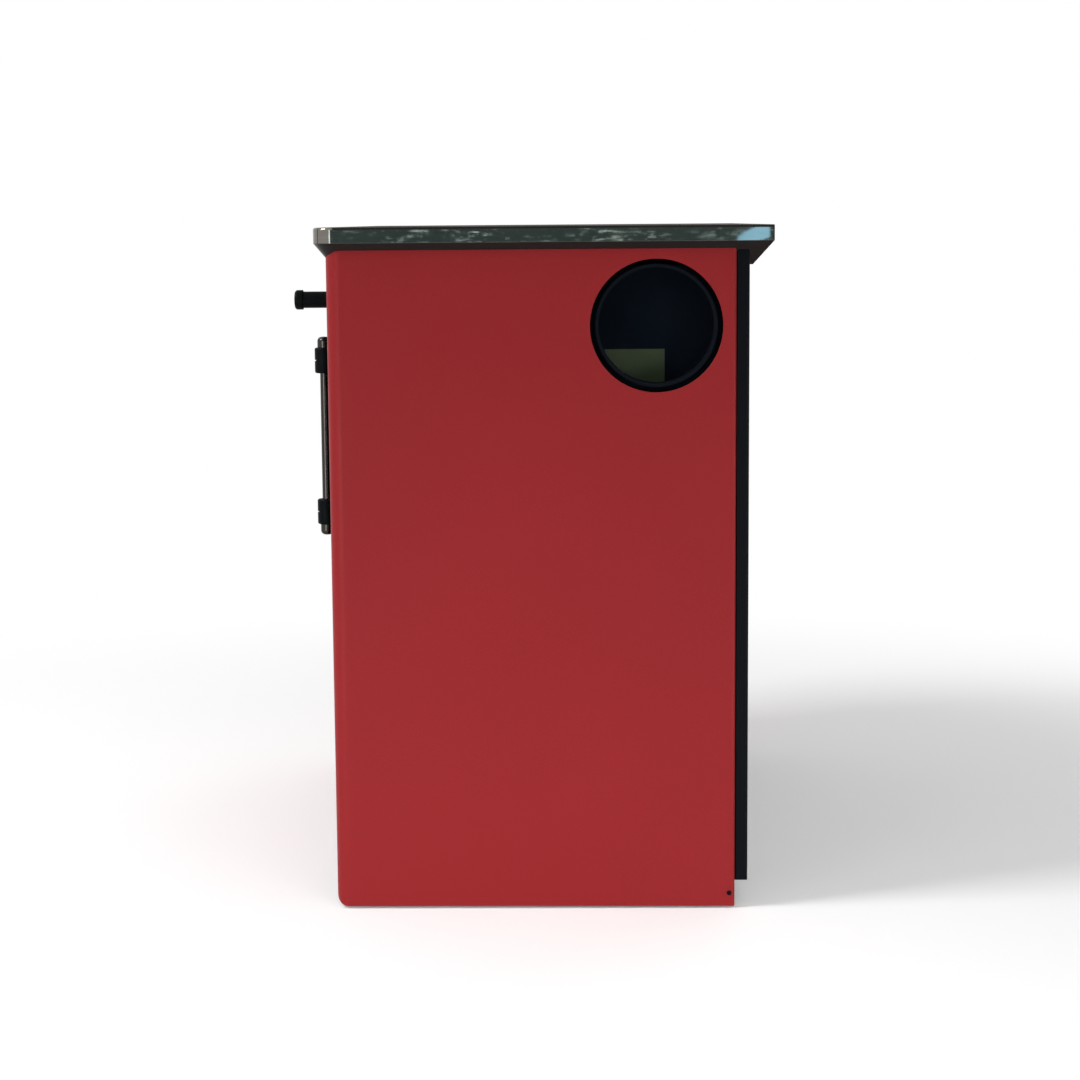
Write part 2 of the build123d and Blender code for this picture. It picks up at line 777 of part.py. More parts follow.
def cut_pin_holes(pivot_x):
    """Blind holes for the hinge pins in the top and bottom of a leaf."""
    hole_radius = pin_radius + running_clearance
    for low, high in ((door_bottom, door_bottom + pin_reach), (door_top - pin_reach, door_top)):
        with BuildSketch(Plane.XY.offset(low)) as plan:
            with Locations((pivot_x, y_at(pivot_depth))):
                Circle(hole_radius)
        extrude(plan.sketch, amount=high - low, mode=Mode.SUBTRACT)


def gasket_ring(mouth_x):
    """A flat seal round a mouth, on the back of its leaf."""
    with BuildSketch(front_plane(leaf_back)) as plan:
        with Locations((middle(mouth_x), middle(mouth_z))):
            for grow, ring_mode in ((gasket_offset + gasket_width, Mode.ADD), (gasket_offset, Mode.SUBTRACT)):
                ring_width = width(mouth_x) + 2 * grow
                ring_height = width(mouth_z) + 2 * grow
                RectangleRounded(ring_width, ring_height, mouth_round + grow, mode=ring_mode)
    extrude(plan.sketch, amount=-gasket_thickness)


def handle_bar(x):
    """An upright round bar with a domed cap beyond each mount."""
    centre = (x, y_at(handle_nose_radius - handle_reach))
    bar_bottom = door_middle_z - handle_length / 2
    cap_length = handle_tip - handle_cap_gap
    for radius, low, length in (
        (handle_bar_radius, bar_bottom, handle_length),
        (handle_cap_radius, bar_bottom, cap_length),
        (handle_cap_radius, bar_bottom + handle_length - cap_length, cap_length),
    ):
        with BuildSketch(Plane.XY.offset(low)) as plan:
            with Locations(centre):
                Circle(radius)
        extrude(plan.sketch, amount=length)
    ends = edges().filter_by(GeomType.CIRCLE).group_by(Axis.Z)
    fillet(ends[0] + ends[-1], handle_end_round)


def handle_mounts(x):
    """Two moulded posts that clasp the bar, each with a groove round the middle of its nose."""
    bar_depth = handle_nose_radius - handle_reach
    levels = (door_middle_z - mount_spacing / 2, door_middle_z + mount_spacing / 2)
    for z in levels:
        with BuildSketch(Plane.XY.offset(z - mount_height / 2)) as plan:
            with Locations((x, y_at(bar_depth))):
                Circle(handle_nose_radius)
            with Locations((x, y_at((bar_depth - leaf_proud) / 2))):
                Rectangle(handle_leg_width, -leaf_proud - bar_depth)
        extrude(plan.sketch, amount=mount_height)
    fillet(edges().filter_by(lambda edge: edge.bounding_box().size.Z < touch_gap), mount_round)
    for z in levels:
        groove_x = grown((x, x), handle_nose_radius)
        groove_span = (-handle_reach, mount_groove_depth - handle_reach)
        block(groove_x, groove_span, grown((z, z), mount_groove / 2), mode=Mode.SUBTRACT)
        with BuildSketch(Plane.XY.offset(z - mount_height / 2)) as plan:
            with Locations((x, y_at(bar_depth))):
                Circle(handle_bar_radius + running_clearance)
        extrude(plan.sketch, amount=mount_height, mode=Mode.SUBTRACT)


def small_knobs(places):
    """Round knobs on a drawer front or the hatch."""
    neck = small_knob_reach / 2
    with BuildSketch(front_plane(-leaf_proud)) as plan:
        with Locations(*places):
            Circle(small_knob_neck)
    extrude(plan.sketch, amount=neck)
    with BuildSketch(front_plane(-leaf_proud - neck)) as plan:
        with Locations(*places):
            Circle(small_knob_radius)
    extrude(plan.sketch, amount=small_knob_reach - neck)
    fillet(edges().group_by(Axis.Y)[0], small_knob_round)


def hinge_bracket(pivot_x, tab_z, flange_z, pin_z):
    """A flange on the fascia with a tab that carries an upright pin."""
    flange_x = grown((pivot_x, pivot_x), bracket_width / 2)
    block(flange_x, (fascia_recess - steel, fascia_recess), flange_z)
    block(grown((pivot_x, pivot_x), bracket_nose), (pivot_depth, fascia_recess), tab_z)
    for radius, span in ((bracket_nose, tab_z), (pin_radius, pin_z)):
        with BuildSketch(Plane.XY.offset(span[0])) as plan:
            with Locations((pivot_x, y_at(pivot_depth))):
                Circle(radius)
        extrude(plan.sketch, amount=width(span))


# Hinge brackets, with a thrust collar on each lower pin
firebox_pivot_x = firebox_door_x[0] + pivot_inset
oven_pivot_x = oven_door_x[1] - pivot_inset

with BuildPart() as hinge_brackets:
    high_tab = (door_top + bracket_gap, door_top + bracket_gap + bracket_thickness)
    low_tab = (door_bottom - bracket_gap - bracket_thickness, door_bottom - bracket_gap)
    for pivot_x in (firebox_pivot_x, oven_pivot_x):
        high_flange = (high_tab[0], high_tab[0] + bracket_flange)
        low_flange = (low_tab[1] - bracket_low_flange, low_tab[1])
        hinge_bracket(pivot_x, high_tab, high_flange, (door_top - pin_reach + pin_end_gap, high_tab[1]))
        hinge_bracket(pivot_x, low_tab, low_flange, (low_tab[0], door_bottom + pin_reach - pin_end_gap))
        with BuildSketch(Plane.XY.offset(low_tab[1])):
            with Locations((pivot_x, y_at(pivot_depth))):
                Circle(bracket_collar)
        extrude(amount=bracket_gap - touch_gap)
save(hinge_brackets, "hinge_brackets")

# Oven door
oven_window_x = middle(oven_door_x)
oven_handle_x = oven_door_x[0] + handle_x_inset
thermometer_place = (oven_window_x, thermometer_z)

with BuildPart() as oven_door_leaf:
    leaf_shape(oven_door_x, (door_bottom, door_top))
    cut_window(oven_window_x)
    cut_pin_holes(oven_pivot_x)
    with BuildSketch(front_plane(leaf_back)):
        with Locations(thermometer_place):
            Circle(thermometer_stem_hole)
    extrude(amount=leaf_thickness, mode=Mode.SUBTRACT)
save(oven_door_leaf, "oven_door_leaf")

with BuildPart() as oven_door_glass:
    with BuildSketch(front_plane(leaf_back)):
        glass_plan(oven_window_x, glass_slack)
    extrude(amount=glass_thickness)
save(oven_door_glass, "oven_door_glass")

with BuildPart() as oven_door_liner:
    liner_x = grown(oven_mouth_x, -liner_gap)
    liner_z = grown(mouth_z, -liner_gap)
    liner_back = leaf_back + liner_depth
    liner_centre = (middle(liner_x), middle(liner_z))
    window_place = (oven_window_x, window_centre_z)
    with BuildSketch(front_plane(liner_back)):
        with Locations(liner_centre):
            RectangleRounded(width(liner_x), width(liner_z), mouth_round)
    extrude(amount=liner_depth)
    with BuildSketch(front_plane(liner_back - sheet)):
        with Locations(liner_centre):
            RectangleRounded(width(liner_x) - 2 * sheet, width(liner_z) - 2 * sheet, mouth_round - sheet)
        with Locations(window_place):
            Rectangle(window_width + 2 * sheet, window_height + 2 * sheet, mode=Mode.SUBTRACT)
        with Locations(thermometer_place):
            Circle(thermometer_stem_hole + sheet, mode=Mode.SUBTRACT)
    extrude(amount=liner_depth - sheet, mode=Mode.SUBTRACT)
    with BuildSketch(front_plane(liner_back)):
        with Locations(window_place):
            Rectangle(window_width, window_height)
        with Locations(thermometer_place):
            Circle(thermometer_stem_hole)
    extrude(amount=liner_depth, mode=Mode.SUBTRACT)
save(oven_door_liner, "oven_door_liner")

with BuildPart() as oven_door_gasket:
    gasket_ring(oven_mouth_x)
save(oven_door_gasket, "oven_door_gasket")

with BuildPart() as oven_handle_bar:
    handle_bar(oven_handle_x)
save(oven_handle_bar, "oven_handle_bar")

with BuildPart() as oven_handle_mounts:
    handle_mounts(oven_handle_x)
save(oven_handle_mounts, "oven_handle_mounts")

with BuildPart() as oven_thermometer:
    dial_depth = thermometer_height - thermometer_rim / 2
    with BuildSketch(front_plane(-leaf_proud)):
        with Locations(thermometer_place):
            Circle(thermometer_radius)
    extrude(amount=thermometer_height)
    with BuildSketch(front_plane(-leaf_proud - dial_depth)):
        with Locations(thermometer_place):
            Circle(thermometer_radius - thermometer_rim)
    extrude(amount=thermometer_height, mode=Mode.SUBTRACT)
    with BuildSketch(front_plane(-leaf_proud)):
        with Locations(thermometer_place):
            Circle(thermometer_stem_radius)
    extrude(amount=-(leaf_thickness + liner_depth + thermometer_rim))
    with BuildSketch(front_plane(-leaf_proud - dial_depth)):
        with Locations((thermometer_place[0], thermometer_place[1] + needle_length / 2)):
            Rectangle(needle_width, needle_length)
        with Locations(thermometer_place):
            Circle(needle_width)
    extrude(amount=needle_thickness)
save(oven_thermometer, "oven_thermometer")

# Firebox door
firebox_window_x = middle(firebox_door_x)
firebox_handle_x = firebox_door_x[1] - handle_x_inset

with BuildPart() as firebox_door_leaf:
    leaf_shape(firebox_door_x, (door_bottom, door_top))
    cut_window(firebox_window_x)
    cut_pin_holes(firebox_pivot_x)
save(firebox_door_leaf, "firebox_door_leaf")

with BuildPart() as firebox_door_glass:
    with BuildSketch(front_plane(leaf_back)):
        glass_plan(firebox_window_x, glass_slack)
    extrude(amount=glass_thickness)
save(firebox_door_glass, "firebox_door_glass")

with BuildPart() as firebox_glass_clips:
    with BuildSketch(front_plane(leaf_back + clip_thickness)):
        for sign in (-1, 1):
            clip_x = firebox_window_x + sign * (window_width / 2 + glass_lap)
            clip_z = window_centre_z + sign * (window_height / 2 + glass_lap)
            with Locations((clip_x, window_centre_z)):
                RectangleRounded(clip_width, clip_length, clip_round)
            with Locations((firebox_window_x, clip_z)):
                RectangleRounded(clip_length, clip_width, clip_round)
    extrude(amount=clip_thickness)
save(firebox_glass_clips, "firebox_glass_clips")

with BuildPart() as firebox_door_gasket:
    gasket_ring(firebox_mouth_x)
save(firebox_door_gasket, "firebox_door_gasket")

with BuildPart() as firebox_handle_bar:
    handle_bar(firebox_handle_x)
save(firebox_handle_bar, "firebox_handle_bar")

with BuildPart() as firebox_handle_mounts:
    handle_mounts(firebox_handle_x)
save(firebox_handle_mounts, "firebox_handle_mounts")

# Ash drawer, with air holes behind a spinner
low_front_middle = middle(low_front_z)
spinner_place = (middle(firebox_door_x), low_front_middle)

with BuildPart() as ash_drawer_front:
    leaf_shape(firebox_door_x, low_front_z)
    with BuildSketch(front_plane(leaf_back)):
        with Locations(spinner_place):
            Circle(spinner_axle_radius + running_clearance)
            with PolarLocations(spinner_circle_radius, spinner_holes):
                Circle(spinner_hole_radius)
    extrude(amount=leaf_thickness, mode=Mode.SUBTRACT)
save(ash_drawer_front, "ash_drawer_front")

with BuildPart() as ash_drawer_box:
    ash_box_z = (ash_box_floor, ash_box_top)
    block(ash_box_x, (leaf_back, ash_box_depth), ash_box_z)
    ash_inner_depth = (leaf_back + sheet, ash_box_depth - sheet)
    ash_inner_z = (ash_box_floor + sheet, ash_box_top + overcut)
    block(grown(ash_box_x, -sheet), ash_inner_depth, ash_inner_z, mode=Mode.SUBTRACT)
    with BuildSketch(front_plane(leaf_back + sheet)):
        with Locations(spinner_place):
            Circle(spinner_circle_radius + spinner_hole_radius)
    extrude(amount=sheet, mode=Mode.SUBTRACT)
save(ash_drawer_box, "ash_drawer_box")

with BuildPart() as ash_drawer_knobs:
    small_knobs([(spinner_place[0] + sign * small_knob_offset, low_front_middle) for sign in (-1, 1)])
save(ash_drawer_knobs, "ash_drawer_knobs")

with BuildPart() as air_spinner:
    spinner_back = -leaf_proud - touch_gap
    spinner_face = spinner_back - spinner_thickness
    with BuildSketch(front_plane(spinner_back)):
        with Locations(spinner_place):
            Circle(spinner_radius)
            with PolarLocations(spinner_circle_radius, spinner_holes):
                Circle(spinner_hole_radius, mode=Mode.SUBTRACT)
    extrude(amount=spinner_thickness)
    with BuildSketch(front_plane(spinner_face)):
        with Locations(spinner_place):
            Circle(spinner_knob_radius)
    extrude(amount=spinner_knob_length)
    fillet(air_spinner.edges().group_by(Axis.Y)[0], small_knob_round)
    with BuildSketch(front_plane(spinner_back)):
        with Locations(spinner_place):
            Circle(spinner_axle_radius)
    extrude(amount=-leaf_thickness)
save(air_spinner, "air_spinner")

# Cleaning hatch under the oven, with one knob
with BuildPart() as cleaning_hatch:
    leaf_shape(oven_door_x, low_front_z)
    hatch_x = grown(hatch_mouth_x, -hatch_gap)
    hatch_z = grown(low_mouth_z, -hatch_gap)
    with BuildSketch(front_plane(leaf_back + hatch_plug)):
        with Locations((middle(hatch_x), middle(hatch_z))):
            RectangleRounded(width(hatch_x), width(hatch_z), mouth_round)
            plug_width = width(hatch_x) - 2 * steel
            plug_height = width(hatch_z) - 2 * steel
            RectangleRounded(plug_width, plug_height, steel, mode=Mode.SUBTRACT)
    extrude(amount=hatch_plug)
save(cleaning_hatch, "cleaning_hatch")

with BuildPart() as hatch_knob:
    small_knobs([(middle(oven_door_x), low_front_middle)])
save(hatch_knob, "hatch_knob")

# Wood drawer
with BuildPart() as wood_drawer_front:
    leaf_shape((-wood_front_half_width, wood_front_half_width), wood_front_z)
save(wood_drawer_front, "wood_drawer_front")

with BuildPart() as wood_drawer_box:
    wood_box_x = grown((-wood_mouth_half, wood_mouth_half), -drawer_side_gap)
    block(wood_box_x, (leaf_back, wood_box_depth), (wood_box_floor, wood_box_top))
    wood_inner_depth = (leaf_back + sheet, wood_box_depth - sheet)
    wood_inner_z = (wood_box_floor + sheet, wood_box_top + overcut)
    block(grown(wood_box_x, -sheet), wood_inner_depth, wood_inner_z, mode=Mode.SUBTRACT)
save(wood_drawer_box, "wood_drawer_box")

with BuildPart() as wood_drawer_handle:
    bar_depth = drawer_bar_radius - drawer_bar_reach
    with BuildSketch(side_plane(-drawer_bar_half)):
        with Locations((y_at(bar_depth), drawer_bar_z)):
            Circle(drawer_bar_radius)
    extrude(amount=2 * drawer_bar_half)
    fillet(wood_drawer_handle.edges().filter_by(GeomType.CIRCLE), drawer_bar_radius / 2)
    post_x = drawer_bar_half - drawer_post_inset
    with BuildSketch(front_plane(-leaf_proud)):
        with Locations((-post_x, drawer_bar_z), (post_x, drawer_bar_z)):
            Circle(drawer_post_radius)
    extrude(amount=-leaf_proud - bar_depth)
save(wood_drawer_handle, "wood_drawer_handle")

# Flue damper: a sliding plate with a lug, its rod and the pull knob at the front
with BuildPart() as damper_plate:
    block(damper_plate_x, damper_plate_depth, damper_plate_z)
    lug_x = (damper_x - damper_rod_radius - damper_lug_wall, damper_plate_x[1])
    lug_depth = (damper_plate_depth[0], damper_plate_depth[0] + damper_lug)
    lug_z = grown((damper_z, damper_z), damper_lug / 2 + damper_lug_wall)
    block(lug_x, lug_depth, lug_z)
    with BuildSketch(front_plane(damper_plate_depth[0])):
        with Locations((damper_x, damper_z)):
            Circle(damper_rod_radius + running_clearance)
    extrude(amount=-damper_lug, mode=Mode.SUBTRACT)
save(damper_plate, "damper_plate")

with BuildPart() as damper_rod:
    knob_base = fascia_recess - bush_thickness - sliding_gap
    rod_front = knob_base - damper_knob_socket + sliding_gap
    with BuildSketch(front_plane(rod_front)):
        with Locations((damper_x, damper_z)):
            Circle(damper_rod_radius)
    extrude(amount=-(damper_plate_depth[0] + damper_lug + damper_lap - rod_front))
save(damper_rod, "damper_rod")

with BuildPart() as damper_knob:
    knob_place = (damper_x, damper_z)
    neck_length = knob_base + damper_knob_reach - damper_knob_head_length
    with BuildSketch(front_plane(knob_base)):
        with Locations(knob_place):
            Circle(damper_knob_neck)
    extrude(amount=neck_length)
    with BuildSketch(front_plane(knob_base - neck_length)):
        with Locations(knob_place):
            Circle(damper_knob_head)
    extrude(amount=damper_knob_head_length)
    fillet(damper_knob.edges().group_by(Axis.Y)[0], damper_knob_round)
    with BuildSketch(front_plane(knob_base)):
        with Locations(knob_place):
            Circle(damper_rod_radius + running_clearance)
    extrude(amount=damper_knob_socket, mode=Mode.SUBTRACT)
save(damper_knob, "damper_knob")

# Cooking plates, and the rings and lid over the fire
ring_place = (ring_centre_x, y_at(ring_depth))
hob_depth = grown((seat_front, seat_back), -sliding_gap)


def disc(radius, z, mode=Mode.ADD):
    """A round step centred over the fire."""
    with BuildSketch(Plane.XY.offset(z[0])) as plan:
        with Locations(ring_place):
            Circle(radius)
    extrude(plan.sketch, amount=width(z), mode=mode)


def lifter_slot(place):
    """A blind slot in a top face for the lifting tool."""
    with BuildSketch(Plane.XY.offset(stove_height - lifter_slot_depth)) as plan:
        with Locations(place):
            SlotOverall(lifter_slot_length, lifter_slot_width)
    extrude(plan.sketch, amount=lifter_slot_depth, mode=Mode.SUBTRACT)


def stepped_hole(rim):
    """A hole with a rebate that the next ring rests in."""
    disc(rim - ring_rebate, (seat_z, stove_height), mode=Mode.SUBTRACT)
    disc(rim, (seat_z + ring_step, stove_height), mode=Mode.SUBTRACT)


def stepped_disc(rim):
    """A disc that rests by its rim in the rebate round it."""
    disc(rim - ring_rebate - sliding_gap, (seat_z, seat_z + ring_step))
    disc(rim - sliding_gap, (seat_z + ring_step, stove_height))


def break_top_edges():
    """Takes the sharpness off every edge of a cooking face."""
    chamfer(edges().group_by(Axis.Z)[-1], plate_chamfer)


with BuildPart() as hob_plate_left:
    left_plate_x = (-seat_x + sliding_gap, hob_split_x - sliding_gap)
    block(left_plate_x, hob_depth, (seat_z, stove_height))
    stepped_hole(ring_radii[0])
    lifter_slot((ring_centre_x, y_at(seat_front + lifter_inset)))
    break_top_edges()
save(hob_plate_left, "hob_plate_left")

with BuildPart() as hob_plate_right:
    right_plate_x = (hob_split_x + sliding_gap, seat_x - sliding_gap)
    block(right_plate_x, hob_depth, (seat_z, stove_height))
    lifter_slot((middle(right_plate_x), y_at(seat_front + lifter_inset)))
    break_top_edges()
save(hob_plate_right, "hob_plate_right")

with BuildPart() as ring_outer:
    stepped_disc(ring_radii[0])
    stepped_hole(ring_radii[1])
    break_top_edges()
save(ring_outer, "ring_outer")

with BuildPart() as ring_inner:
    stepped_disc(ring_radii[1])
    stepped_hole(ring_radii[2])
    break_top_edges()
save(ring_inner, "ring_inner")

with BuildPart() as ring_lid:
    stepped_disc(ring_radii[2])
    lifter_slot(ring_place)
    break_top_edges()
save(ring_lid, "ring_lid")
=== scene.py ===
import math

import bmesh
import bpy
from mathutils import Matrix, Vector


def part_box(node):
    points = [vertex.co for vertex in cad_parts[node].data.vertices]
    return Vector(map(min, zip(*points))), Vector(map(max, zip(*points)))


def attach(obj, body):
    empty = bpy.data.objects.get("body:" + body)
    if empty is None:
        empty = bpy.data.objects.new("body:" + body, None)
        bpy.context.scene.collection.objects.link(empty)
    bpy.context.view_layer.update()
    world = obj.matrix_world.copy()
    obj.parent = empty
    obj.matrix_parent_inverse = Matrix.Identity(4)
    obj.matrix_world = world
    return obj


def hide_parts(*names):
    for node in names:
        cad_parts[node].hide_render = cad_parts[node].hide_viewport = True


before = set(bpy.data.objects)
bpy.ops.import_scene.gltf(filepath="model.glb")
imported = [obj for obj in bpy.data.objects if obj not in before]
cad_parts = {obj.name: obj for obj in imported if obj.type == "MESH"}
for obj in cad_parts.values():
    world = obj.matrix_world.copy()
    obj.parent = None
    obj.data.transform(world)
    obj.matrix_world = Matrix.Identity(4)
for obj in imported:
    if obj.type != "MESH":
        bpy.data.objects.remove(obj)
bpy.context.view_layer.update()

scene = bpy.context.scene
scene.view_settings.view_transform = "Standard"

# Places on the stove are written in millimetres, with depths behind the front edge of the side panels
MM = 0.001
Y_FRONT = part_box("right_side_panel")[0][1]


def at(x, depth, z):
    """A point in the shared frame from millimetres: X, depth behind the front plane, and height."""
    return Vector((x * MM, Y_FRONT + depth * MM, z * MM))


def corners(node):
    """The low and the high corner of a node's box, in the millimetres that at() takes."""
    return [Vector((x, y - Y_FRONT, z)) / MM for x, y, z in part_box(node)]


def middle(node):
    """The centre of a node's box, in the same measures."""
    low, high = corners(node)
    return (low + high) / 2


def half_sizes(node, inset):
    """Half the width and half the height of a node's box, less an inset all round."""
    low, high = corners(node)
    return (high.x - low.x) / 2 - inset, (high.z - low.z) / 2 - inset


# Node tools
BEVEL_SAMPLES = 4


class Nodes:
    """The nodes of a material or of the world."""

    def __init__(self, tree):
        self.tree = tree

    def link(self, source, target):
        self.tree.links.new(source, target)

    def feed(self, socket, value):
        """Sets a socket to a number or a colour, or links an output to it."""
        if isinstance(value, (int, float)):
            socket.default_value = value
        elif isinstance(value, tuple):
            socket.default_value = (*value, 1.0)
        else:
            self.link(value, socket)

    def node(self, kind, **inputs):
        """A new node, with the inputs fed that are named."""
        node = self.tree.nodes.new(kind)
        for name, value in inputs.items():
            self.feed(node.inputs[name.replace("_", " ")], value)
        return node

    def math(self, operation, first, second=0.0):
        node = self.node("ShaderNodeMath")
        node.operation = operation
        self.feed(node.inputs[0], first)
        self.feed(node.inputs[1], second)
        return node.outputs["Value"]

    def vector_math(self, operation, *vectors):
        """The number that an operation on vectors gives."""
        node = self.node("ShaderNodeVectorMath")
        node.operation = operation
        for socket, vector in zip(node.inputs, vectors):
            self.link(vector, socket)
        return node.outputs["Value"]

    def span(self, value, low, high, start=0.3, end=0.7, kind="LINEAR"):
        """Low where a value is at start, high where it is at end."""
        node = self.node("ShaderNodeMapRange", Value=value, From_Min=start, From_Max=end)
        self.feed(node.inputs["To Min"], low)
        self.feed(node.inputs["To Max"], high)
        node.interpolation_type = kind
        return node.outputs["Result"]

    def blend(self, factor, first, second):
        """A mix of two shaders."""
        node = self.node("ShaderNodeMixShader", Fac=factor)
        self.link(first, node.inputs[1])
        self.link(second, node.inputs[2])
        return node.outputs["Shader"]


class Shader(Nodes):
    """A material whose looks come from procedural nodes in object space."""

    def __init__(self, name):
        self.material = bpy.data.materials.new(name)
        self.material.use_nodes = True
        super().__init__(self.material.node_tree)
        self.bsdf = self.tree.nodes["Principled BSDF"]
        self.place = self.node("ShaderNodeTexCoord").outputs["Object"]

    def set(self, **inputs):
        """Feeds inputs of the Principled shader."""
        for name, value in inputs.items():
            self.feed(self.bsdf.inputs[name.replace("_", " ")], value)

    def surface(self, output):
        """Shows another shader in place of the Principled one."""
        self.link(output, self.tree.nodes["Material Output"].inputs["Surface"])
        self.tree.nodes.remove(self.bsdf)

    def mapped(self, stretch, centre=(0, 0, 0)):
        """Object coordinates about a centre, stretched along each axis."""
        mapping = self.node("ShaderNodeMapping", Vector=self.place)
        mapping.inputs["Location"].default_value = [-c * s for c, s in zip(centre, stretch)]
        mapping.inputs["Scale"].default_value = stretch
        return mapping.outputs["Vector"]

    def noise(self, scale, detail=3.0, rough=0.5, stretch=(1, 1, 1)):
        place = self.mapped(stretch)
        node = self.node("ShaderNodeTexNoise", Scale=scale, Detail=detail, Roughness=rough, Vector=place)
        return node.outputs["Fac"]

    def cells(self, scale):
        """Distance to the nearest of many scattered points."""
        node = self.node("ShaderNodeTexVoronoi", Scale=scale, Vector=self.place)
        return node.outputs["Distance"]

    def wave(self, scale, distortion):
        """Wavy bands that follow one another along X."""
        node = self.node("ShaderNodeTexWave", Scale=scale, Distortion=distortion, Vector=self.place)
        return node.outputs["Fac"]

    def turning(self, centre, scale, detail=4.0):
        """Noise that changes only with the distance from an upright axis."""
        reach = self.vector_math("LENGTH", self.mapped((1, 1, 0), (*centre[:2], 0)))
        node = self.node("ShaderNodeTexNoise", Scale=scale, Detail=detail)
        node.noise_dimensions = "1D"
        self.link(reach, node.inputs["W"])
        return node.outputs["Fac"]

    def ramp(self, value, stops):
        node = self.node("ShaderNodeValToRGB", Fac=value)
        for element, (place, colour) in zip(node.color_ramp.elements, stops):
            element.position = place
            element.color = (*colour, 1.0)
        return node.outputs["Color"]

    def tones(self, value, colour, dark, light, start=0.3, end=0.7):
        """A colour that runs from a darker to a lighter tone of itself with a value."""
        return self.ramp(value, [(start, shade(colour, dark)), (end, shade(colour, light))])

    def mix(self, factor, first, second):
        """A colour between two others."""
        node = self.node("ShaderNodeMix")
        node.data_type = "RGBA"
        # The sockets for colours come after those for numbers and vectors
        for index, value in ((0, factor), (6, first), (7, second)):
            self.feed(node.inputs[index], value)
        return node.outputs[2]

    def stain(self, body, colour, value, amount, start, end):
        """A body colour with another over it, from none where a value is at start to an amount at end."""
        return self.mix(self.span(value, 0.0, amount, start, end), body, colour)

    def softened(self, radius):
        """The surface normal with every sharp edge eased over a radius in millimetres."""
        bevel = self.node("ShaderNodeBevel", Radius=radius * MM)
        bevel.samples = BEVEL_SAMPLES
        return bevel.outputs["Normal"]

    def normal(self):
        """The normal of the mesh itself."""
        return self.node("ShaderNodeNewGeometry").outputs["Normal"]

    def edges(self, radius):
        """How close a point is to a sharp edge, from 0 on a flat to 1 on an edge."""
        agreement = self.vector_math("DOT_PRODUCT", self.softened(radius), self.normal())
        return self.span(agreement, 1.0, 0.0, start=0.80, end=0.99)

    def facing(self, start, end):
        """0 where the upward part of the normal is at start, 1 where it is at end."""
        split = self.node("ShaderNodeSeparateXYZ", Vector=self.normal())
        return self.span(split.outputs["Z"], 0.0, 1.0, start, end)

    def near_line(self, first, second, half_width):
        """1 on an upright plane outwards from one point through another, and on its mirror in X."""
        split = self.node("ShaderNodeSeparateXYZ", Vector=self.place)
        across_x = self.math("ABSOLUTE", split.outputs["X"])
        onward = (second - first).xy.normalized()
        sideways = Vector((onward.y, -onward.x))

        def reach(direction):
            part_x = self.math("MULTIPLY", across_x, direction.x)
            part_y = self.math("MULTIPLY", split.outputs["Y"], direction.y)
            return self.math("SUBTRACT", self.math("ADD", part_x, part_y), direction.dot(first.xy))

        off_plane = self.math("ABSOLUTE", reach(sideways))
        on_plane = self.span(off_plane, 1.0, 0.0, half_width / 2, half_width)
        outward = self.span(reach(onward), 0.0, 1.0, -half_width, 0.0)
        return self.math("MULTIPLY", on_plane, outward)

    def bump(self, value, depth, strength, after=None):
        """The normal of a relief, its depth in millimetres, which may lie over another."""
        node = self.node("ShaderNodeBump", Height=value, Distance=depth * MM, Strength=strength)
        if after is not None:
            self.link(after, node.inputs["Normal"])
        return node.outputs["Normal"]


def shade(colour, *factors):
    """A colour made darker or lighter, by one factor or by one for each channel."""
    each = factors if len(factors) > 1 else factors * len(colour)
    return tuple(min(1.0, channel * factor) for channel, factor in zip(colour, each))


# Materials: noise scales are per metre, and edge radii and relief depths are in millimetres
DUST = (0.30, 0.27, 0.25)
GRIME = (0.03, 0.026, 0.022)
ASH = (0.30, 0.29, 0.27)
SOOT = (0.035, 0.03, 0.027)
BRICK_DARK = (0.30, 0.22, 0.13)
BRICK_PALE = (0.52, 0.42, 0.28)
BRICK_FLAKE = (0.62, 0.52, 0.36)
ROPE_DARK = (0.10, 0.10, 0.095)
ROPE_PALE = (0.30, 0.30, 0.28)
MITRE_DARK = (0.012, 0.011, 0.010)
MITRE_HALF_WIDTH = 0.7 * MM
# Painted shade: the dark colour laid on the frame's downward faces
UNDER_FRAME_SHADE = (0.027, 0.022, 0.021)
UNDER_DULLNESS = 0.34
TOP_DULLNESS = 0.24


def enamel(name, colour, low, high, gloss, peel=0.05, worn=None, dust=0.0):
    """Fired enamel: cloudy colour, uneven gloss, a fine orange-peel skin and thin worn edges."""
    s = Shader(name)
    cloud = s.tones(s.noise(2.4), colour, 0.95, 1.05)
    speck = s.tones(s.noise(620, detail=2.0), colour, 0.90, 1.08, start=0.42, end=0.58)
    body = s.mix(0.35, cloud, speck)
    if dust:
        film = s.noise(9, detail=6.0, rough=0.65, stretch=(1, 1, 0.5))
        body = s.stain(body, DUST, film, dust, start=0.45, end=0.75)
    if worn:
        body = s.stain(body, worn, s.edges(1.1), 0.55, start=0.25, end=1.0)
    shine = s.span(s.noise(14, detail=5.0, rough=0.6), low, high)
    skin = s.bump(s.noise(230, detail=2.0), peel, 0.4, after=s.softened(0.8))
    waves = s.bump(s.noise(4.0, detail=1.0), 0.6, 0.12, after=skin)
    s.set(Base_Color=body, Roughness=shine, Normal=waves, Specular_IOR_Level=gloss)
    return s.material


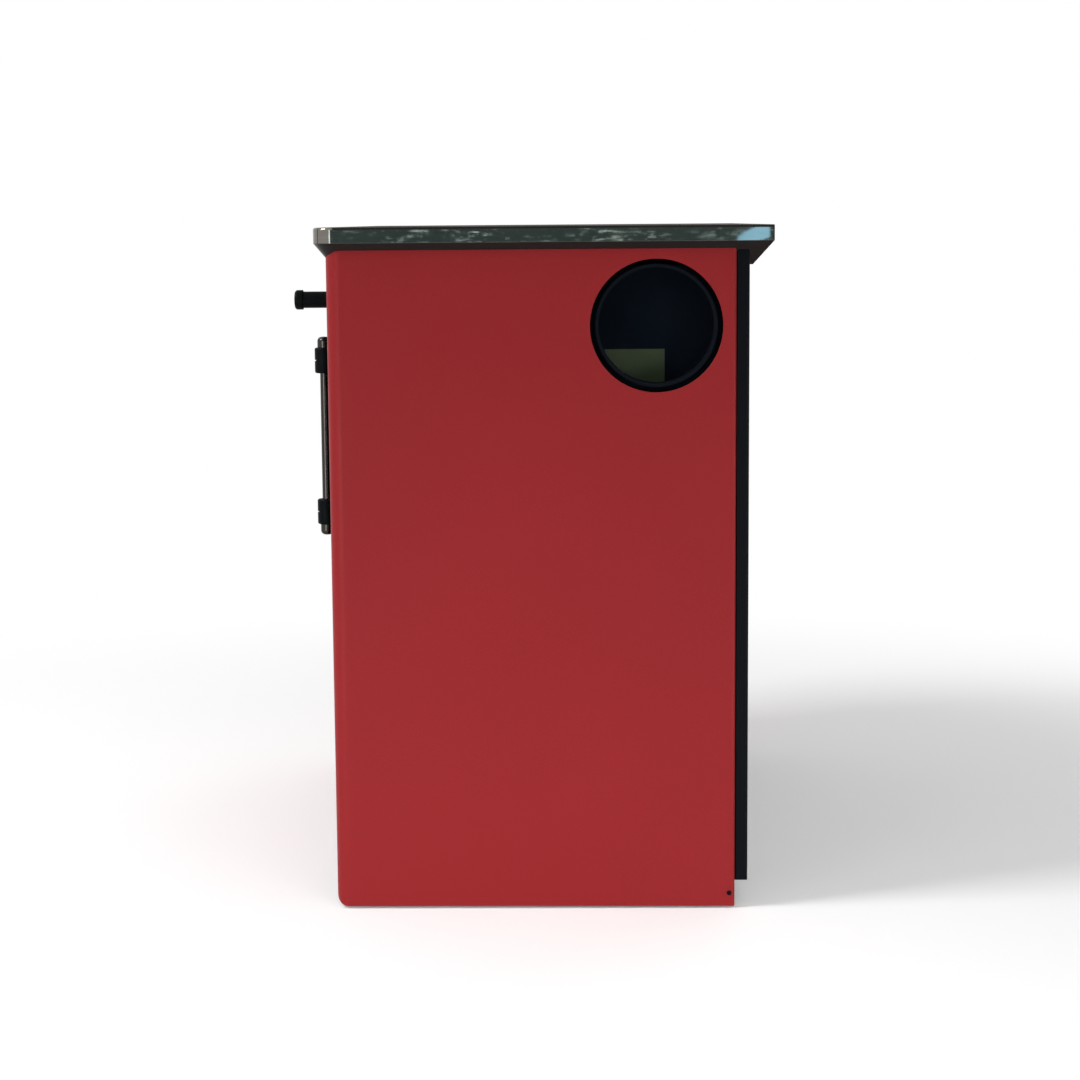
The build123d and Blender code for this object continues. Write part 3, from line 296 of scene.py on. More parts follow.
def metal(name, colour, low, high, grain, grime=0.0):
    """Worked metal: drawn grain, cloudy gloss and a little grime."""
    s = Shader(name)
    drawn = s.noise(30, detail=4.0, rough=0.6, stretch=grain)
    body = s.tones(drawn, colour, 0.86, 1.12)
    if grime:
        dirt = s.noise(18, detail=6.0, rough=0.65)
        body = s.stain(body, GRIME, dirt, grime, start=0.5, end=0.8)
    shine = s.span(s.noise(12, detail=5.0, rough=0.6), low, high)
    scratches = s.bump(drawn, 0.02, 0.5, after=s.softened(0.6))
    s.set(Base_Color=body, Roughness=shine, Normal=scratches, Metallic=1.0)
    return s.material


def polished(name, colour, seams):
    """Polished frame: buffing lines, tarnish, dark hairlines at mitres, brushed top, and a dull underside
    whose dark colour is painted shade.
    """
    s = Shader(name)
    lines = s.noise(26, detail=5.0, rough=0.6, stretch=(1, 1, 14))
    body = s.tones(lines, colour, 0.88, 1.10)
    tarnish = s.noise(6.5, detail=4.0, rough=0.6)
    body = s.stain(body, shade(colour, 0.62, 0.72, 0.74), tarnish, 0.55, start=0.42, end=0.72)
    for first, second in seams:
        body = s.mix(s.near_line(first, second, MITRE_HALF_WIDTH), body, MITRE_DARK)
    # The frame's downward faces get a dark painted shade in their colour, and a duller gloss
    under = s.facing(-0.20, -0.45)
    body = s.mix(under, body, UNDER_FRAME_SHADE)
    dull_under = s.math("MULTIPLY", under, UNDER_DULLNESS)
    dull_top = s.math("MULTIPLY", s.facing(0.5, 0.95), TOP_DULLNESS)
    shine = s.span(s.noise(16, detail=5.0, rough=0.6), 0.006, 0.024)
    shine = s.math("ADD", shine, s.math("MAXIMUM", dull_under, dull_top))
    fine = s.bump(lines, 0.005, 0.2, after=s.softened(1.0))
    waves = s.bump(s.noise(9.0, detail=2.0, stretch=(1, 1, 2)), 0.8, 0.04, after=fine)
    s.set(Base_Color=body, Roughness=shine, Normal=waves, Metallic=1.0)
    return s.material


def ground_iron(name, colour, centre=None):
    """Ground cooking iron: grinding lines or turning marks, heat colours and spills burnt in."""
    s = Shader(name)
    lines = s.turning(centre, 900) if centre else s.noise(16, detail=5.0, rough=0.65, stretch=(1, 60, 1))
    body = s.tones(lines, colour, 0.80, 1.22)
    heat = s.noise(7.0, detail=4.0, rough=0.55, stretch=(1, 1, 0))
    body = s.stain(body, shade(colour, 1.15, 0.92, 0.74), heat, 0.45, start=0.46, end=0.70)
    burnt = s.noise(13, detail=6.0, rough=0.65, stretch=(1, 1, 0))
    body = s.stain(body, shade(colour, 0.35), burnt, 0.5, start=0.56, end=0.72)
    body = s.stain(body, shade(colour, 2.6), s.edges(1.2), 0.6, start=0.2, end=1.0)
    shine = s.span(s.noise(9, detail=5.0, rough=0.6, stretch=(1, 1, 0)), 0.30, 0.46)
    marks = s.bump(lines, 0.04, 0.6)
    skin = s.bump(s.noise(700, detail=2.0), 0.04, 0.4, after=marks)
    s.set(Base_Color=body, Roughness=shine, Normal=skin, Metallic=0.85)
    return s.material


def cast(name, colour, low, high, ash=0.0, gloss=0.4, metallic=0.35, rubbed=3.0):
    """Cast iron: pitted skin, seasoned gloss, rubbed edges, and ash where it lies in the fire."""
    s = Shader(name)
    body = s.tones(s.noise(11, detail=5.0, rough=0.6), colour, 0.75, 1.35)
    if ash:
        body = s.stain(body, ASH, s.noise(25, detail=6.0, rough=0.7), ash, start=0.48, end=0.75)
    body = s.stain(body, shade(colour, rubbed), s.edges(1.5), 0.5, start=0.2, end=1.0)
    shine = s.span(s.noise(40, detail=4.0), low, high)
    skin = s.bump(s.noise(520), 0.12, 0.5)
    pits = s.bump(s.cells(260), 0.08, 0.4, after=skin)
    s.set(Base_Color=body, Roughness=shine, Normal=pits, Metallic=metallic, Specular_IOR_Level=gloss)
    return s.material


def moulding(name, colour, low, high):
    """Black moulded phenolic: fine sparked texture with a soft sheen and rubbed edges."""
    s = Shader(name)
    body = s.tones(s.noise(60, detail=4.0), colour, 0.8, 1.3)
    body = s.stain(body, shade(colour, 2.4), s.edges(1.2), 0.45, start=0.2, end=1.0)
    shine = s.span(s.noise(90, detail=4.0), low, high)
    sparked = s.bump(s.noise(1400, detail=2.0), 0.03, 0.5, after=s.softened(0.8))
    s.set(Base_Color=body, Roughness=shine, Normal=sparked, Specular_IOR_Level=0.05)
    return s.material


def brick(name):
    """Vermiculite brick: tan body with pale flakes, sooted in patches."""
    s = Shader(name)
    body = s.ramp(s.noise(45, detail=6.0, rough=0.7), [(0.25, BRICK_DARK), (0.75, BRICK_PALE)])
    body = s.mix(s.span(s.cells(420), 0.0, 0.6, start=0.02, end=0.16), BRICK_FLAKE, body)
    sooted = s.span(s.noise(8, detail=5.0, rough=0.65), 0.15, 0.8, start=0.35, end=0.7)
    body = s.mix(sooted, body, SOOT)
    crumb = s.bump(s.noise(240, detail=5.0, rough=0.7), 0.8, 0.6)
    s.set(Base_Color=body, Roughness=0.95, Normal=crumb)
    return s.material


def glazing(name, tint):
    """Smoked ceramic glass with a faint film of soot."""
    s = Shader(name)
    film = s.tones(s.noise(9, detail=5.0, rough=0.6), tint, 1.0, 0.55, start=0.35, end=0.75)
    shine = s.span(s.noise(20, detail=4.0), 0.02, 0.05)
    s.set(Base_Color=film, Roughness=shine, Transmission_Weight=0.975, IOR=1.47, Specular_IOR_Level=0.15)
    return s.material


def rope(name):
    """Woven seal: wavy strands with loose fibre."""
    s = Shader(name)
    strands = s.wave(420, distortion=2.0)
    body = s.ramp(strands, [(0.2, ROPE_DARK), (0.8, ROPE_PALE)])
    s.set(Base_Color=body, Roughness=0.95, Normal=s.bump(strands, 0.3, 0.8))
    return s.material


def painted(name, colour, low, high):
    """Printed or painted marking: nearly even colour and gloss."""
    s = Shader(name)
    body = s.tones(s.noise(300), colour, 0.88, 1.08)
    s.set(Base_Color=body, Roughness=s.span(s.noise(80), low, high))
    return s.material


# The frame's mitres run from the corners of the plates' seat to its outer corners, round ones at the front
PLATE_CLEARANCE = 0.5
ROUND_CORNER_CUT = 7.6
frame_low, frame_high = corners("top_frame")
plate_low, plate_high = corners("hob_plate_left")
SEAT_X = PLATE_CLEARANCE - plate_low.x
FRONT_MITRE = (
    at(SEAT_X, plate_low.y - PLATE_CLEARANCE, frame_high.z),
    at(frame_high.x - ROUND_CORNER_CUT, frame_low.y + ROUND_CORNER_CUT, frame_high.z),
)
REAR_MITRE = (at(SEAT_X, plate_high.y + PLATE_CLEARANCE, frame_high.z), at(*frame_high))
RING_CENTRE = at(*middle("ring_lid"))

RED = (0.262, 0.0155, 0.0180)
BLACK = (0.0028, 0.0034, 0.0052)
DOOR_BLACK = (0.0060, 0.0062, 0.0070)
SOOT_BLUE = (0.0018, 0.0047, 0.0100)
FRAME_GREY = (0.205, 0.188, 0.165)
IRON_GREY = (0.088, 0.086, 0.084)
COLLAR_BLACK = (0.0024, 0.0040, 0.0066)

# Grain of the metals: how closely its lines are packed along X, Y and Z
LEVEL_GRAIN = (1, 1, 30)
FINE_LEVEL_GRAIN = (1, 1, 40)
CROSS_GRAIN = (40, 1, 1)
UPRIGHT_GRAIN = (60, 60, 1)
NO_GRAIN = (1, 1, 1)

red_enamel = enamel("red_enamel", RED, 0.34, 0.46, gloss=0.12, worn=(0.30, 0.030, 0.032))
red_front = enamel("red_front", RED, 0.24, 0.34, gloss=0.17, worn=(0.32, 0.045, 0.045))
black_enamel = enamel("black_enamel", BLACK, 0.34, 0.50, gloss=0.06, worn=(0.008, 0.008, 0.010))
door_enamel = enamel("door_enamel", DOOR_BLACK, 0.22, 0.36, gloss=0.16, worn=(0.03, 0.03, 0.03))
oven_enamel = enamel("oven_enamel", (0.049, 0.070, 0.034), 0.40, 0.58, gloss=0.15, dust=0.06)
soot_steel = enamel("soot_steel", SOOT_BLUE, 0.62, 0.85, gloss=0.05, peel=0.25, dust=0.01)
frame_metal = polished("frame_metal", FRAME_GREY, (FRONT_MITRE, REAR_MITRE))
plain_steel = metal("plain_steel", (0.26, 0.26, 0.255), 0.34, 0.52, grain=FINE_LEVEL_GRAIN, grime=0.5)
box_steel = metal("box_steel", (0.33, 0.33, 0.33), 0.30, 0.45, grain=CROSS_GRAIN, grime=0.35)
satin_steel = metal("satin_steel", (0.30, 0.295, 0.285), 0.28, 0.42, grain=LEVEL_GRAIN, grime=0.3)
bright_steel = metal("bright_steel", (0.50, 0.49, 0.47), 0.16, 0.30, grain=LEVEL_GRAIN)
bar_steel = metal("bar_steel", (0.048, 0.043, 0.040), 0.14, 0.26, grain=UPRIGHT_GRAIN)
screw_zinc = metal("screw_zinc", (0.20, 0.195, 0.18), 0.26, 0.42, grain=NO_GRAIN, grime=0.4)
plate_iron = ground_iron("plate_iron", IRON_GREY)
ring_iron = ground_iron("ring_iron", IRON_GREY, RING_CENTRE)
grate_iron = cast("grate_iron", (0.030, 0.029, 0.028), 0.62, 0.82, ash=0.7)
collar_iron = cast("collar_iron", COLLAR_BLACK, 0.55, 0.75, gloss=0.05, metallic=0.0, rubbed=1.6)
black_moulding = moulding("black_moulding", (0.0028, 0.0034, 0.0040), 0.34, 0.50)
firebrick = brick("firebrick")
door_glass = glazing("door_glass", (0.46, 0.43, 0.40))
rope_seal = rope("rope_seal")
dial_white = painted("dial_white", (0.70, 0.69, 0.65), 0.30, 0.42)
dial_black = painted("dial_black", (0.012, 0.012, 0.012), 0.35, 0.50)
dial_amber = painted("dial_amber", (0.62, 0.30, 0.035), 0.35, 0.50)
dial_red = painted("dial_red", (0.46, 0.020, 0.016), 0.30, 0.42)
glass_border = painted("glass_border", (0.006, 0.006, 0.0065), 0.45, 0.60)

# Finish of every CAD node
finishes = {
    red_enamel: ["left_side_panel", "right_side_panel"],
    red_front: ["front_fascia", "ash_drawer_front", "cleaning_hatch", "wood_drawer_front"],
    black_enamel: ["rear_cover", "base_tray"],
    door_enamel: ["oven_door_leaf", "firebox_door_leaf"],
    oven_enamel: ["oven_box", "oven_door_liner"],
    soot_steel: [
        "inner_left_wall", "inner_right_wall", "inner_back_wall", "smoke_divider", "damper_guides",
        "damper_plate", "hearth_plate", "firebox_floor", "firebox_partition",
    ],
    plain_steel: ["panel_spacers", "drawer_rails", "firebox_glass_clips", "levelling_feet"],
    satin_steel: ["hinge_brackets", "damper_bush"],
    box_steel: ["ash_drawer_box", "wood_drawer_box"],
    bright_steel: ["wood_drawer_handle", "damper_rod", "oven_rack", "oven_thermometer", "air_spinner"],
    bar_steel: ["oven_handle_bar", "firebox_handle_bar"],
    frame_metal: ["top_frame"],
    plate_iron: ["hob_plate_left", "hob_plate_right"],
    ring_iron: ["ring_outer", "ring_inner", "ring_lid"],
    grate_iron: ["grate"],
    collar_iron: ["flue_collar", "collar_bolts"],
    black_moulding: [
        "oven_handle_mounts", "firebox_handle_mounts", "damper_knob", "ash_drawer_knobs", "hatch_knob",
    ],
    firebrick: ["firebrick_left", "firebrick_right", "firebrick_rear", "firebrick_front"],
    door_glass: ["oven_door_glass", "firebox_door_glass"],
    rope_seal: ["oven_door_gasket", "firebox_door_gasket"],
}
for material, names in finishes.items():
    for name in names:
        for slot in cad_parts[name].material_slots:
            slot.material = material

# Mesh tools for the detail pieces, in millimetres on a local plane whose Z points out of the surface:
# X and Y of that plane on each face of the stove
FACES = {
    "front": ((1, 0, 0), (0, 0, 1)),
    "rear": ((-1, 0, 0), (0, 0, 1)),
    "right": ((0, 1, 0), (0, 0, 1)),
    "left": ((0, -1, 0), (0, 0, 1)),
}
SCREW_SIDES = 40
BOLT_SIDES = 36
BORDER_ARC_STEP = 2.0
FEWEST_ARC_STEPS = 6


def seat(place, face):
    """Turns local millimetres on a face of the stove into the shared frame."""
    along, up = (Vector(axis) for axis in FACES[face])
    turn = Matrix((along, up, along.cross(up))).transposed().to_4x4()
    return Matrix.Translation(place) @ turn @ Matrix.Scale(MM, 4)


def skin(build, rings, seat_matrix, closed=False):
    """Skins a row of point loops with equal counts, and caps both ends unless the row is closed."""
    loops = [[build.verts.new(seat_matrix @ Vector(point)) for point in ring] for ring in rings]
    pairs = list(zip(loops, loops[1:]))
    if closed:
        pairs.append((loops[-1], loops[0]))
    for first, second in pairs:
        for i in range(len(first)):
            j = (i + 1) % len(first)
            build.faces.new((first[i], first[j], second[j], second[i]))
    if not closed:
        build.faces.new(list(reversed(loops[0])))
        build.faces.new(loops[-1])


def add_mesh(name, build, material):
    """Makes an object of a built mesh."""
    mesh = bpy.data.meshes.new(name)
    build.to_mesh(mesh)
    build.free()
    mesh.materials.append(material)
    made = bpy.data.objects.new(name, mesh)
    scene.collection.objects.link(made)
    return made


def finish_piece(name, build, material, body, slot, sharp=32.0):
    """Makes a detail piece, shades it smooth up to an angle and hangs it on its body."""
    bmesh.ops.recalc_face_normals(build, faces=build.faces[:])
    piece = add_mesh(name, build, material)
    piece.data.shade_smooth()
    piece.data.set_sharp_from_angle(angle=math.radians(sharp))
    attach(piece, body)
    return piece


def turned(profile, sides):
    """Rings of a turned shape from (radius, height) pairs; a radius may be a function of the angle."""
    angles = [2 * math.pi * side / sides for side in range(sides)]
    rings = []
    for radius, height in profile:
        reach = [radius(angle) if callable(radius) else radius for angle in angles]
        rings.append([(r * math.cos(a), r * math.sin(a), height) for r, a in zip(reach, angles)])
    return rings


def cross_shape(arm, half_width):
    """Radius of a cross by angle, for the recess of a screw."""
    tiny = 1e-6

    def radius(angle):
        c, s = abs(math.cos(angle)) + tiny, abs(math.sin(angle)) + tiny
        return max(min(arm / c, half_width / s), min(half_width / c, arm / s))

    return radius


def hexagon(apothem):
    """Radius of a hexagon by angle."""
    return lambda angle: apothem / math.cos((angle % (math.pi / 3)) - math.pi / 6)


def screws(name, places, face, radius, body, material=screw_zinc):
    """Pan-head screws with a cross recess."""
    build = bmesh.new()
    tall = 0.55 * radius
    arm, half_width = 0.55 * radius, 0.14 * radius
    profile = [
        (radius, 0.0),
        (radius, 0.25 * tall),
        (0.92 * radius, 0.62 * tall),
        (0.76 * radius, 0.90 * tall),
        (0.64 * radius, tall),
        (cross_shape(arm, half_width), tall),
        (cross_shape(0.75 * arm, 0.75 * half_width), 0.35 * tall),
    ]
    for place in places:
        skin(build, turned(profile, SCREW_SIDES), seat(place, face))
    finish_piece(name, build, material, body, "bright_steel")


def bolts(name, places, face, radius, body):
    """Hexagon-head bolts on round washers."""
    build = bmesh.new()
    washer_radius, washer, head = 1.35 * radius, 0.16 * radius, 0.62 * radius
    flats = hexagon(0.86 * radius)
    washer_profile = [(washer_radius, 0.0), (washer_radius, washer)]
    head_profile = [
        (flats, washer),
        (flats, 0.82 * head),
        (lambda angle: min(flats(angle), 0.93 * radius), 0.9 * head),
        (0.80 * radius, head),
    ]
    for place in places:
        for profile in (washer_profile, head_profile):
            skin(build, turned(profile, BOLT_SIDES), seat(place, face))
    finish_piece(name, build, screw_zinc, body, "bright_steel")


def walk(half_x, half_y, radius, arc_step, straight_step=None):
    """Places round a rounded rectangle: point, outward direction and distance walked."""
    places = []
    walked = 0.0
    for side in range(4):
        half, other = (half_x, half_y) if side % 2 == 0 else (half_y, half_x)
        quarter = side * math.pi / 2
        outward = Vector((round(math.cos(quarter)), round(math.sin(quarter))))
        onward = Vector((-outward.y, outward.x))
        run = 2 * (other - radius)
        steps = max(1, round(run / straight_step)) if straight_step else 1
        for step in range(steps):
            offset = onward * (run * step / steps - run / 2)
            places.append((outward * half + offset, outward, walked + run * step / steps))
        walked += run
        centre = outward * (half - radius) + onward * (other - radius)
        arc = radius * math.pi / 2
        turns = max(FEWEST_ARC_STEPS, round(arc / arc_step))
        for step in range(turns):
            angle = (side + step / turns) * math.pi / 2
            direction = Vector((math.cos(angle), math.sin(angle)))
            places.append((centre + direction * radius, direction, walked + arc * step / turns))
        walked += arc
    return places


def border(name, place, halves, radius, section, material, body, slot):
    """A moulding of one section, run round a rounded rectangle on the front of the stove."""
    build = bmesh.new()
    rings = []
    for point, outward, _ in walk(*halves, radius, BORDER_ARC_STEP):
        rings.append([(*(point + outward * out), height) for out, height in section])
    skin(build, rings, seat(place, "front"), closed=True)
    finish_piece(name, build, material, body, slot)


# Windows: a bright bead round each one, and the dark printed border of its glass
LEAF_FRONT, LEAF_BACK = (corner.y for corner in corners("oven_door_leaf"))
GLASS_LAP = 11.5
WINDOW_ROUND = 14.0
PRINT_GAP = 0.2
BEAD = [(0.4, 0.0), (0.4, 1.0), (1.0, 1.6), (2.2, 1.9), (5.0, 1.9), (6.4, 1.3), (7.0, 0.4), (7.0, 0.0)]
PRINT = [(-0.3, 0.0), (-0.3, 0.15), (-9.0, 0.15), (-9.0, 0.0)]
DOORS = ("oven", "firebox")
for door in DOORS:
    body = f"{door}_door"
    glass = f"{door}_door_glass"
    halves = half_sizes(glass, GLASS_LAP)
    x, _, z = middle(glass)
    outside = at(x, LEAF_FRONT, z)
    inside = at(x, LEAF_BACK + PRINT_GAP, z)
    border(f"{door}_window_bead", outside, halves, WINDOW_ROUND, BEAD, satin_steel, body, "bright_steel")
    border(f"{door}_glass_border", inside, halves, WINDOW_ROUND, PRINT, glass_border, body, "black_enamel")

# Pressed swages round the doors and the drawer and hatch fronts
SWAGE = [(-2.6, 0.0), (-1.8, 0.7), (-0.7, 1.15), (0.7, 1.15), (1.8, 0.7), (2.6, 0.0)]
SWAGE_INSET = 10.0
SWAGE_ROUND = 7.0
fronts = {
    "oven_door_leaf": ("oven_door", door_enamel, "black_enamel"),
    "firebox_door_leaf": ("firebox_door", door_enamel, "black_enamel"),
    "ash_drawer_front": ("ash_drawer", red_front, "red_enamel"),
    "cleaning_hatch": ("hatch", red_front, "red_enamel"),
    "wood_drawer_front": ("wood_drawer", red_front, "red_enamel"),
}
for node, (body, material, slot) in fronts.items():
    x, _, z = middle(node)
    place = at(x, corners(node)[0].y, z)
    halves = half_sizes(node, SWAGE_INSET)
    border(f"{node}_swage", place, halves, SWAGE_ROUND, SWAGE, material, body, slot)

# Rope seals: three twisted strands, flattened between the leaf and the fascia
ROPE_HALF_WIDTH = 2.3
ROPE_HALF_THICKNESS = 0.52
ROPE_STRANDS = 3
ROPE_LAY = 12.0
ROPE_SWELL = 0.12
ROPE_SIDES = 12
ROPE_STEP = 1.6
ROPE_SHARP = 60.0
SEAL_INSET = 2.5
SEAL_ROUND = 10.0
for door in DOORS:
    gasket = f"{door}_door_gasket"
    places = walk(*half_sizes(gasket, SEAL_INSET), SEAL_ROUND, ROPE_STEP, ROPE_STEP)
    whole = places[-1][2] + ROPE_STEP
    lay = whole / round(whole / ROPE_LAY)
    rings = []
    for point, outward, walked in places:
        ring = []
        for step in range(ROPE_SIDES):
            angle = 2 * math.pi * step / ROPE_SIDES
            swell = 1 + ROPE_SWELL * math.cos(ROPE_STRANDS * angle - 2 * math.pi * walked / lay)
            out = ROPE_HALF_WIDTH * swell * math.cos(angle)
            ring.append((*(point + outward * out), ROPE_HALF_THICKNESS * swell * math.sin(angle)))
        rings.append(ring)
    build = bmesh.new()
    skin(build, rings, seat(at(*middle(gasket)), "front"), closed=True)
    seal = finish_piece(f"{door}_rope_seal", build, rope_seal, f"{door}_door", "rope_seal", ROPE_SHARP)
    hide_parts(f"{door}_door_gasket")

# Thermometer dial: face, scale, numbers, coloured zones and needle
DIAL_FLOOR = 3.5
DIAL_TOP = 3.66
DIAL_SIDES = 64
FACE_RADIUS = 20.9
FACE_HOLE = 2.0
FACE_SINK = 0.05
FACE_BEVEL = 0.3
INK_TOP = 3.72
TOPMOST_READING = 20.0
LAST_READING = 350
DIAL_SWEEP = 300.0
MINOR_TICK = 10
MAJOR_TICK = 50
TICK_OUTER = 19.8
MAJOR_INNER, MAJOR_HALF_WIDTH = 16.9, 1.4
MINOR_INNER, MINOR_HALF_WIDTH = 18.0, 0.7
ZONE_INNER, ZONE_OUTER = 15.0, 16.3
ZONE_STEPS = 24
NUMBER_RADIUS = 11.6
NUMBER_SIZE = 4.4
NUMBER_HALF_THICKNESS = 0.03
NEEDLE = [(-1.25, -5.0), (1.25, -5.0), (1.25, 15.2), (0.35, 18.6), (-0.35, 18.6), (-1.25, 15.2)]
NEEDLE_EDGE = 4.55
NEEDLE_TOP = 4.62
TOP_NARROWING = 0.8
TOP_SHORTENING = 0.2
HUB = [(3.2, INK_TOP), (3.2, 4.5), (2.6, 4.85), (1.2, 4.95)]
HUB_SIDES = 32
dial_x, _, dial_z = middle("oven_thermometer")
DIAL_SEAT = seat(at(dial_x, LEAF_FRONT, dial_z), "front")


def dial_angle(value):
    """Angle of a reading, anticlockwise from local X, while the readings run clockwise."""
    return math.radians(90.0 - (value - TOPMOST_READING) * DIAL_SWEEP / LAST_READING)


def dial_patch(build, low, high, inner, outer, steps):
    """A thin inked patch of the dial between two readings and two radii."""
    rings = []
    for step in range(steps + 1):
        angle = dial_angle(low + (high - low) * step / steps)
        c, s = math.cos(angle), math.sin(angle)
        section = ((inner, DIAL_FLOOR), (outer, DIAL_FLOOR), (outer, INK_TOP), (inner, INK_TOP))
        rings.append([(c * r, s * r, height) for r, height in section])
    skin(build, rings, DIAL_SEAT)


build = bmesh.new()
face_profile = [
    (FACE_RADIUS, DIAL_FLOOR - FACE_SINK),
    (FACE_RADIUS, DIAL_TOP - FACE_SINK),
    (FACE_RADIUS - FACE_BEVEL, DIAL_TOP),
    (FACE_HOLE, DIAL_TOP),
]
skin(build, turned(face_profile, DIAL_SIDES), DIAL_SEAT)
finish_piece("dial_face", build, dial_white, "oven_door", "bright_steel")

build = bmesh.new()
for reading in range(0, LAST_READING + 1, MINOR_TICK):
    major = reading % MAJOR_TICK == 0
    half = MAJOR_HALF_WIDTH if major else MINOR_HALF_WIDTH
    inner = MAJOR_INNER if major else MINOR_INNER
    dial_patch(build, reading - half, reading + half, inner, TICK_OUTER, 1)
finish_piece("dial_scale", build, dial_black, "oven_door", "black_enamel")

zones = {"amber": (dial_amber, 120, 220), "red": (dial_red, 220, LAST_READING)}
for name, (material, low, high) in zones.items():
    build = bmesh.new()
    dial_patch(build, low, high, ZONE_INNER, ZONE_OUTER, ZONE_STEPS)
    finish_piece(f"dial_{name}_zone", build, material, "oven_door", "red_enamel")

for reading in (0, 100, 200, 300):
    writing = bpy.data.curves.new(f"dial_number_{reading}", "FONT")
    writing.body = str(reading)
    writing.size = NUMBER_SIZE
    writing.extrude = NUMBER_HALF_THICKNESS
    writing.align_x = "CENTER"
    writing.align_y = "CENTER"
    number = bpy.data.objects.new(f"dial_number_{reading}", writing)
    scene.collection.objects.link(number)
    angle = dial_angle(reading)
    height = DIAL_TOP + NUMBER_HALF_THICKNESS
    spot = Vector((NUMBER_RADIUS * math.cos(angle), NUMBER_RADIUS * math.sin(angle), height))
    number.matrix_world = DIAL_SEAT @ Matrix.Translation(spot)
    writing.materials.append(dial_black)
    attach(number, "oven_door")

build = bmesh.new()
needle_rings = [[(x, y, height) for x, y in NEEDLE] for height in (INK_TOP, NEEDLE_EDGE)]
needle_rings.append([
    (TOP_NARROWING * x, y - math.copysign(TOP_SHORTENING, y), NEEDLE_TOP) for x, y in NEEDLE
])
skin(build, needle_rings, DIAL_SEAT)
skin(build, turned(HUB, HUB_SIDES), DIAL_SEAT)
finish_piece("dial_needle", build, dial_red, "oven_door", "red_enamel")

# Turned knobs of the low fronts with their rosettes, and the knurled cap of the air spinner
KNOB_RADIUS = 11.0
KNOB = [
    (8.0, 0.0), (8.0, 2.0), (7.0, 3.4), (6.6, 5.5), (7.2, 7.6), (9.2, 9.2), (10.6, 10.6),
    (KNOB_RADIUS, 12.4), (KNOB_RADIUS, 14.6), (10.6, 16.4), (9.6, 17.5), (8.2, 18.0),
    (7.6, 17.6), (7.0, 17.3), (0.8, 17.0),
]
ROSETTE = [(7.6, 0.0), (12.5, 0.0), (12.5, 0.7), (11.6, 1.5), (9.0, 1.9), (7.6, 1.9)]
KNOB_SIDES = 48
KNOB_SHARP = 40.0
KNURLS = 20
KNURL_DEPTH = 0.32
CAP_SIDES = 120
pair_low, pair_high = corners("ash_drawer_knobs")
low_x, _, low_z = middle("ash_drawer_front")
low_knobs = {
    "ash_drawer": ("ash_drawer_knobs", (pair_low.x + KNOB_RADIUS, pair_high.x - KNOB_RADIUS)),
    "hatch": ("hatch_knob", (middle("cleaning_hatch").x,)),
}
for body, (node, columns) in low_knobs.items():
    knobs = bmesh.new()
    rosettes = bmesh.new()
    for x in columns:
        matrix = seat(at(x, LEAF_FRONT, low_z), "front")
        skin(knobs, turned(KNOB, KNOB_SIDES), matrix)
        skin(rosettes, turned(ROSETTE, KNOB_SIDES), matrix, closed=True)
    name = f"{body}_turned_knobs"
    turned_knobs = finish_piece(name, knobs, black_moulding, body, "black_moulding", KNOB_SHARP)
    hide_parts(node)
    finish_piece(f"{body}_rosettes", rosettes, satin_steel, body, "bright_steel")


def knurl(radius):
    """Radius of a knurled grip by angle."""
    return lambda angle: radius + KNURL_DEPTH * math.cos(KNURLS * angle)


build = bmesh.new()
cap = [
    (knurl(9.7), 6.0), (knurl(10.0), 6.8), (knurl(10.0), 16.4), (knurl(9.4), 17.8),
    (8.4, 18.6), (7.6, 18.6), (0.8, 18.45),
]
skin(build, turned(cap, CAP_SIDES), seat(at(low_x, LEAF_FRONT, low_z), "front"))
finish_piece("air_spinner_cap", build, black_moulding, "air_control", "black_moulding")

# Screws of the rear cover, the side panels and the hinge brackets
COVER_SIDE_INSET = 40.0
COVER_SIDE_ROWS = (70, 250, 430, 610, 780)
COVER_MIDDLE_COLUMNS = (-215, 0, 215)
COVER_MIDDLE_ROWS = (52, 788)
PANEL_REAR_INSET = 7.0
PANEL_FOOT_INSET = 17.0
BRACKET_FACE = 7.0
PIVOTS = (-388.0, 388.0)
# Height of the screws in the upper and the lower brackets, and half the distance between them
BRACKET_ROWS = ((743.0, 7.0), (390.4, 8.5))
low, high = corners("rear_cover")
side_columns = (low.x + COVER_SIDE_INSET, high.x - COVER_SIDE_INSET)
cover_places = [at(x, high.y, z) for x in side_columns for z in COVER_SIDE_ROWS]
cover_places += [at(x, high.y, z) for x in COVER_MIDDLE_COLUMNS for z in COVER_MIDDLE_ROWS]
screws("rear_cover_screws", cover_places, "rear", radius=4.2, body="casing")
for side in ("right", "left"):
    low, high = corners(f"{side}_side_panel")
    outer_x = high.x if side == "right" else low.x
    place = at(outer_x, high.y - PANEL_REAR_INSET, low.z + PANEL_FOOT_INSET)
    screws(f"{side}_panel_screw", [place], side, radius=3.0, body="casing", material=black_moulding)
bracket_places = [
    at(x + shift, BRACKET_FACE, z) for z, half in BRACKET_ROWS for x in PIVOTS for shift in (-half, half)
]
screws("hinge_screws", bracket_places, "front", radius=2.7, body="casing")

